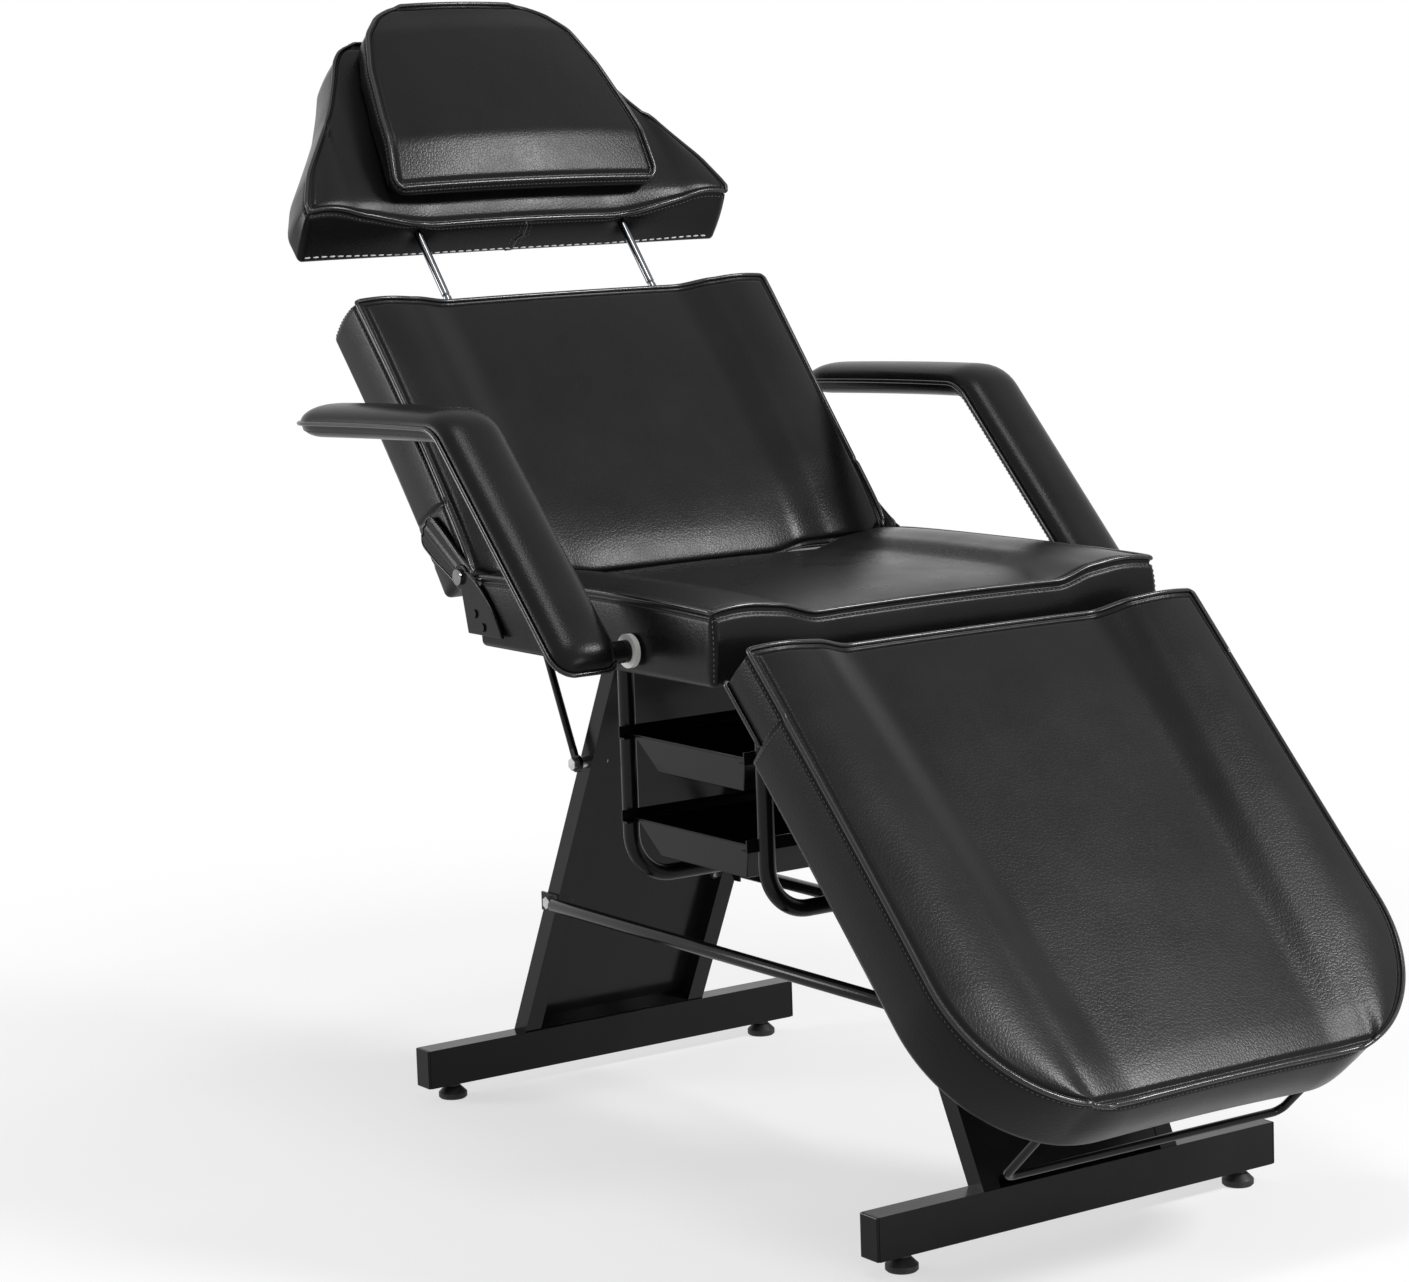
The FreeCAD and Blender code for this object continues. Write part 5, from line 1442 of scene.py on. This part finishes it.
@dataclass
class Studio:
    """Plain studio: pale floor, soft lamps and the camera at the photograph's angle.

    Attributes:
        eye: the camera's place.
        ahead: its viewing direction.
        roll: its turn about that direction, in radians.
        lens: focal length in millimetres on a 36 mm sensor.
        shift: the picture's shift in shares of its width.
        lamps: the softboxes.
        floor_half: half the floor's side.
        pool: distances from the chair between which the floor goes to all white.
        floor_glow: share of white light that the floor gives the camera near the chair.
        fill: strength of the light from all round.
    """

    eye: Triple = (-2.3906, -3.2518 + MIDDLE_Y, 1.1450)
    ahead: Triple = (0.5493, 0.8256, -0.1289)
    roll: float = -0.03592
    lens: float = 93.62
    shift: Pair = (0.0480, -0.0290)
    lamps: tuple[Lamp, ...] = (
        Lamp("key", (3.2, -3.6, 4.2), (0.0, -0.1, 0.7), 1.1, 285.0),
        Lamp("top", (-0.5, -0.8, 3.6), (-0.1, -0.1, 0.6), 0.8, 32.0),
        Lamp("edge", (-2.3, 1.9, 1.1), (0.0, 0.1, 0.7), 0.9, 34.0),
        Lamp("front", (0.5, -3.3, 0.35), (0.0, 0.2, 0.9), 0.9, 30.0))
    floor_half: float = 9.0
    pool: Pair = (0.7, 2.0)
    floor_glow: float = 0.62
    fill: float = 0.26

    def camera(self) -> None:
        """Make the camera."""
        data = bpy.data.cameras.new("camera")
        data.lens, data.sensor_width = self.lens, 36.0
        data.shift_x, data.shift_y = self.shift
        ahead = Vector(self.ahead).normalized()
        right = ahead.cross(Vector((0, 0, 1))).normalized()
        up = right.cross(ahead)
        across = right * math.cos(self.roll) + up * math.sin(self.roll)
        above = up * math.cos(self.roll) - right * math.sin(self.roll)
        camera = bpy.data.objects.new("camera", data)
        camera.matrix_world = Matrix((
            (across.x, above.x, -ahead.x, self.eye[0]), (across.y, above.y, -ahead.y, self.eye[1]),
            (across.z, above.z, -ahead.z, self.eye[2]), (0, 0, 0, 1)))
        bpy.context.scene.collection.objects.link(camera)
        bpy.context.scene.camera = camera

    def floor(self) -> None:
        """Lay the pale floor; for the camera and mirrors it is part white light, and all white far from the chair."""
        corners = np.array([[-1.0, -1.0, 0.0], [1.0, -1.0, 0.0], [1.0, 1.0, 0.0], [-1.0, 1.0, 0.0]])
        material = bpy.data.materials.new("pale_floor")
        tree = empty_tree(material)
        seen = self.seen(tree)
        matt = add(tree, "BsdfDiffuse", {"Color": linear("#f4f4f4")})
        glow = add(tree, "Emission", {"Color": (1, 1, 1, 1), "Strength": 1.0})
        place = add(tree, "TexCoord").outputs["Object"]
        away = add(tree, "VectorMath", {"operation": "LENGTH"}, {0: place})
        white = add(tree, "MapRange",
                    {"From Min": self.pool[0], "From Max": self.pool[1], "To Min": self.floor_glow, "To Max": 1.0,
                     "interpolation_type": "SMOOTHSTEP"}, {"Value": away.outputs["Value"]})
        share = add(tree, "Math", {"operation": "MULTIPLY"}, {0: seen, 1: white.outputs[0]})
        mix = add(tree, "MixShader", None, {0: share.outputs[0], 1: matt.outputs[0], 2: glow.outputs[0]})
        add(tree, "OutputMaterial", None, {"Surface": mix.outputs[0]})
        make_mesh("floor", self.floor_half * corners, [[0, 1, 2, 3]], [material])

    def seen(self, tree: Tree) -> Socket:
        """1 where the camera, a mirror or glass looks, 0 for light that only falls on things.

        Args:
            tree: the tree of the floor or the world.

        Returns:
            The socket.
        """
        path = add(tree, "LightPath")
        both = add(tree, "Math", {"operation": "ADD", "use_clamp": True},
                   {0: path.outputs["Is Camera Ray"], 1: path.outputs["Is Glossy Ray"]})
        return add(tree, "Math", {"operation": "ADD", "use_clamp": True},
                   {0: both.outputs[0], 1: path.outputs["Is Transmission Ray"]}).outputs[0]

    def world(self) -> None:
        """White surroundings for the camera, softer light for the object."""
        world = bpy.data.worlds.new("studio")
        tree = empty_tree(world)
        seen = self.seen(tree)
        level = add(tree, "MapRange", {"To Min": self.fill, "To Max": 1.0}, {"Value": seen})
        sky = add(tree, "Background", {"Color": (1, 1, 1, 1)}, {"Strength": level.outputs[0]})
        add(tree, "OutputWorld", None, {"Surface": sky.outputs[0]})
        bpy.context.scene.world = world

    def build(self) -> None:
        """Set up the studio."""
        bpy.context.scene.view_settings.view_transform = "Standard"
        self.camera()
        self.floor()
        self.world()
        for lamp in self.lamps:
            lamp.hang()


def main() -> None:
    """Build the studio, the pads and the frame's finishes."""
    logging.basicConfig(level=logging.INFO, format="%(message)s")
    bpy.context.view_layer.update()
    Studio().build()
    Hardware().dress()
    pads: list[Pad] = [
        Seat(), Back(), HingeCover(side=Side.LEFT), HingeCover(side=Side.RIGHT), LegRest(), Headrest(), Pillow(),
        Armrest(side=Side.LEFT), Armrest(side=Side.RIGHT)]
    for pad in pads:
        pad.build()
    swell(pads)
    for pad in pads:
        pad.dress()


if __name__ == "__main__":
    main()
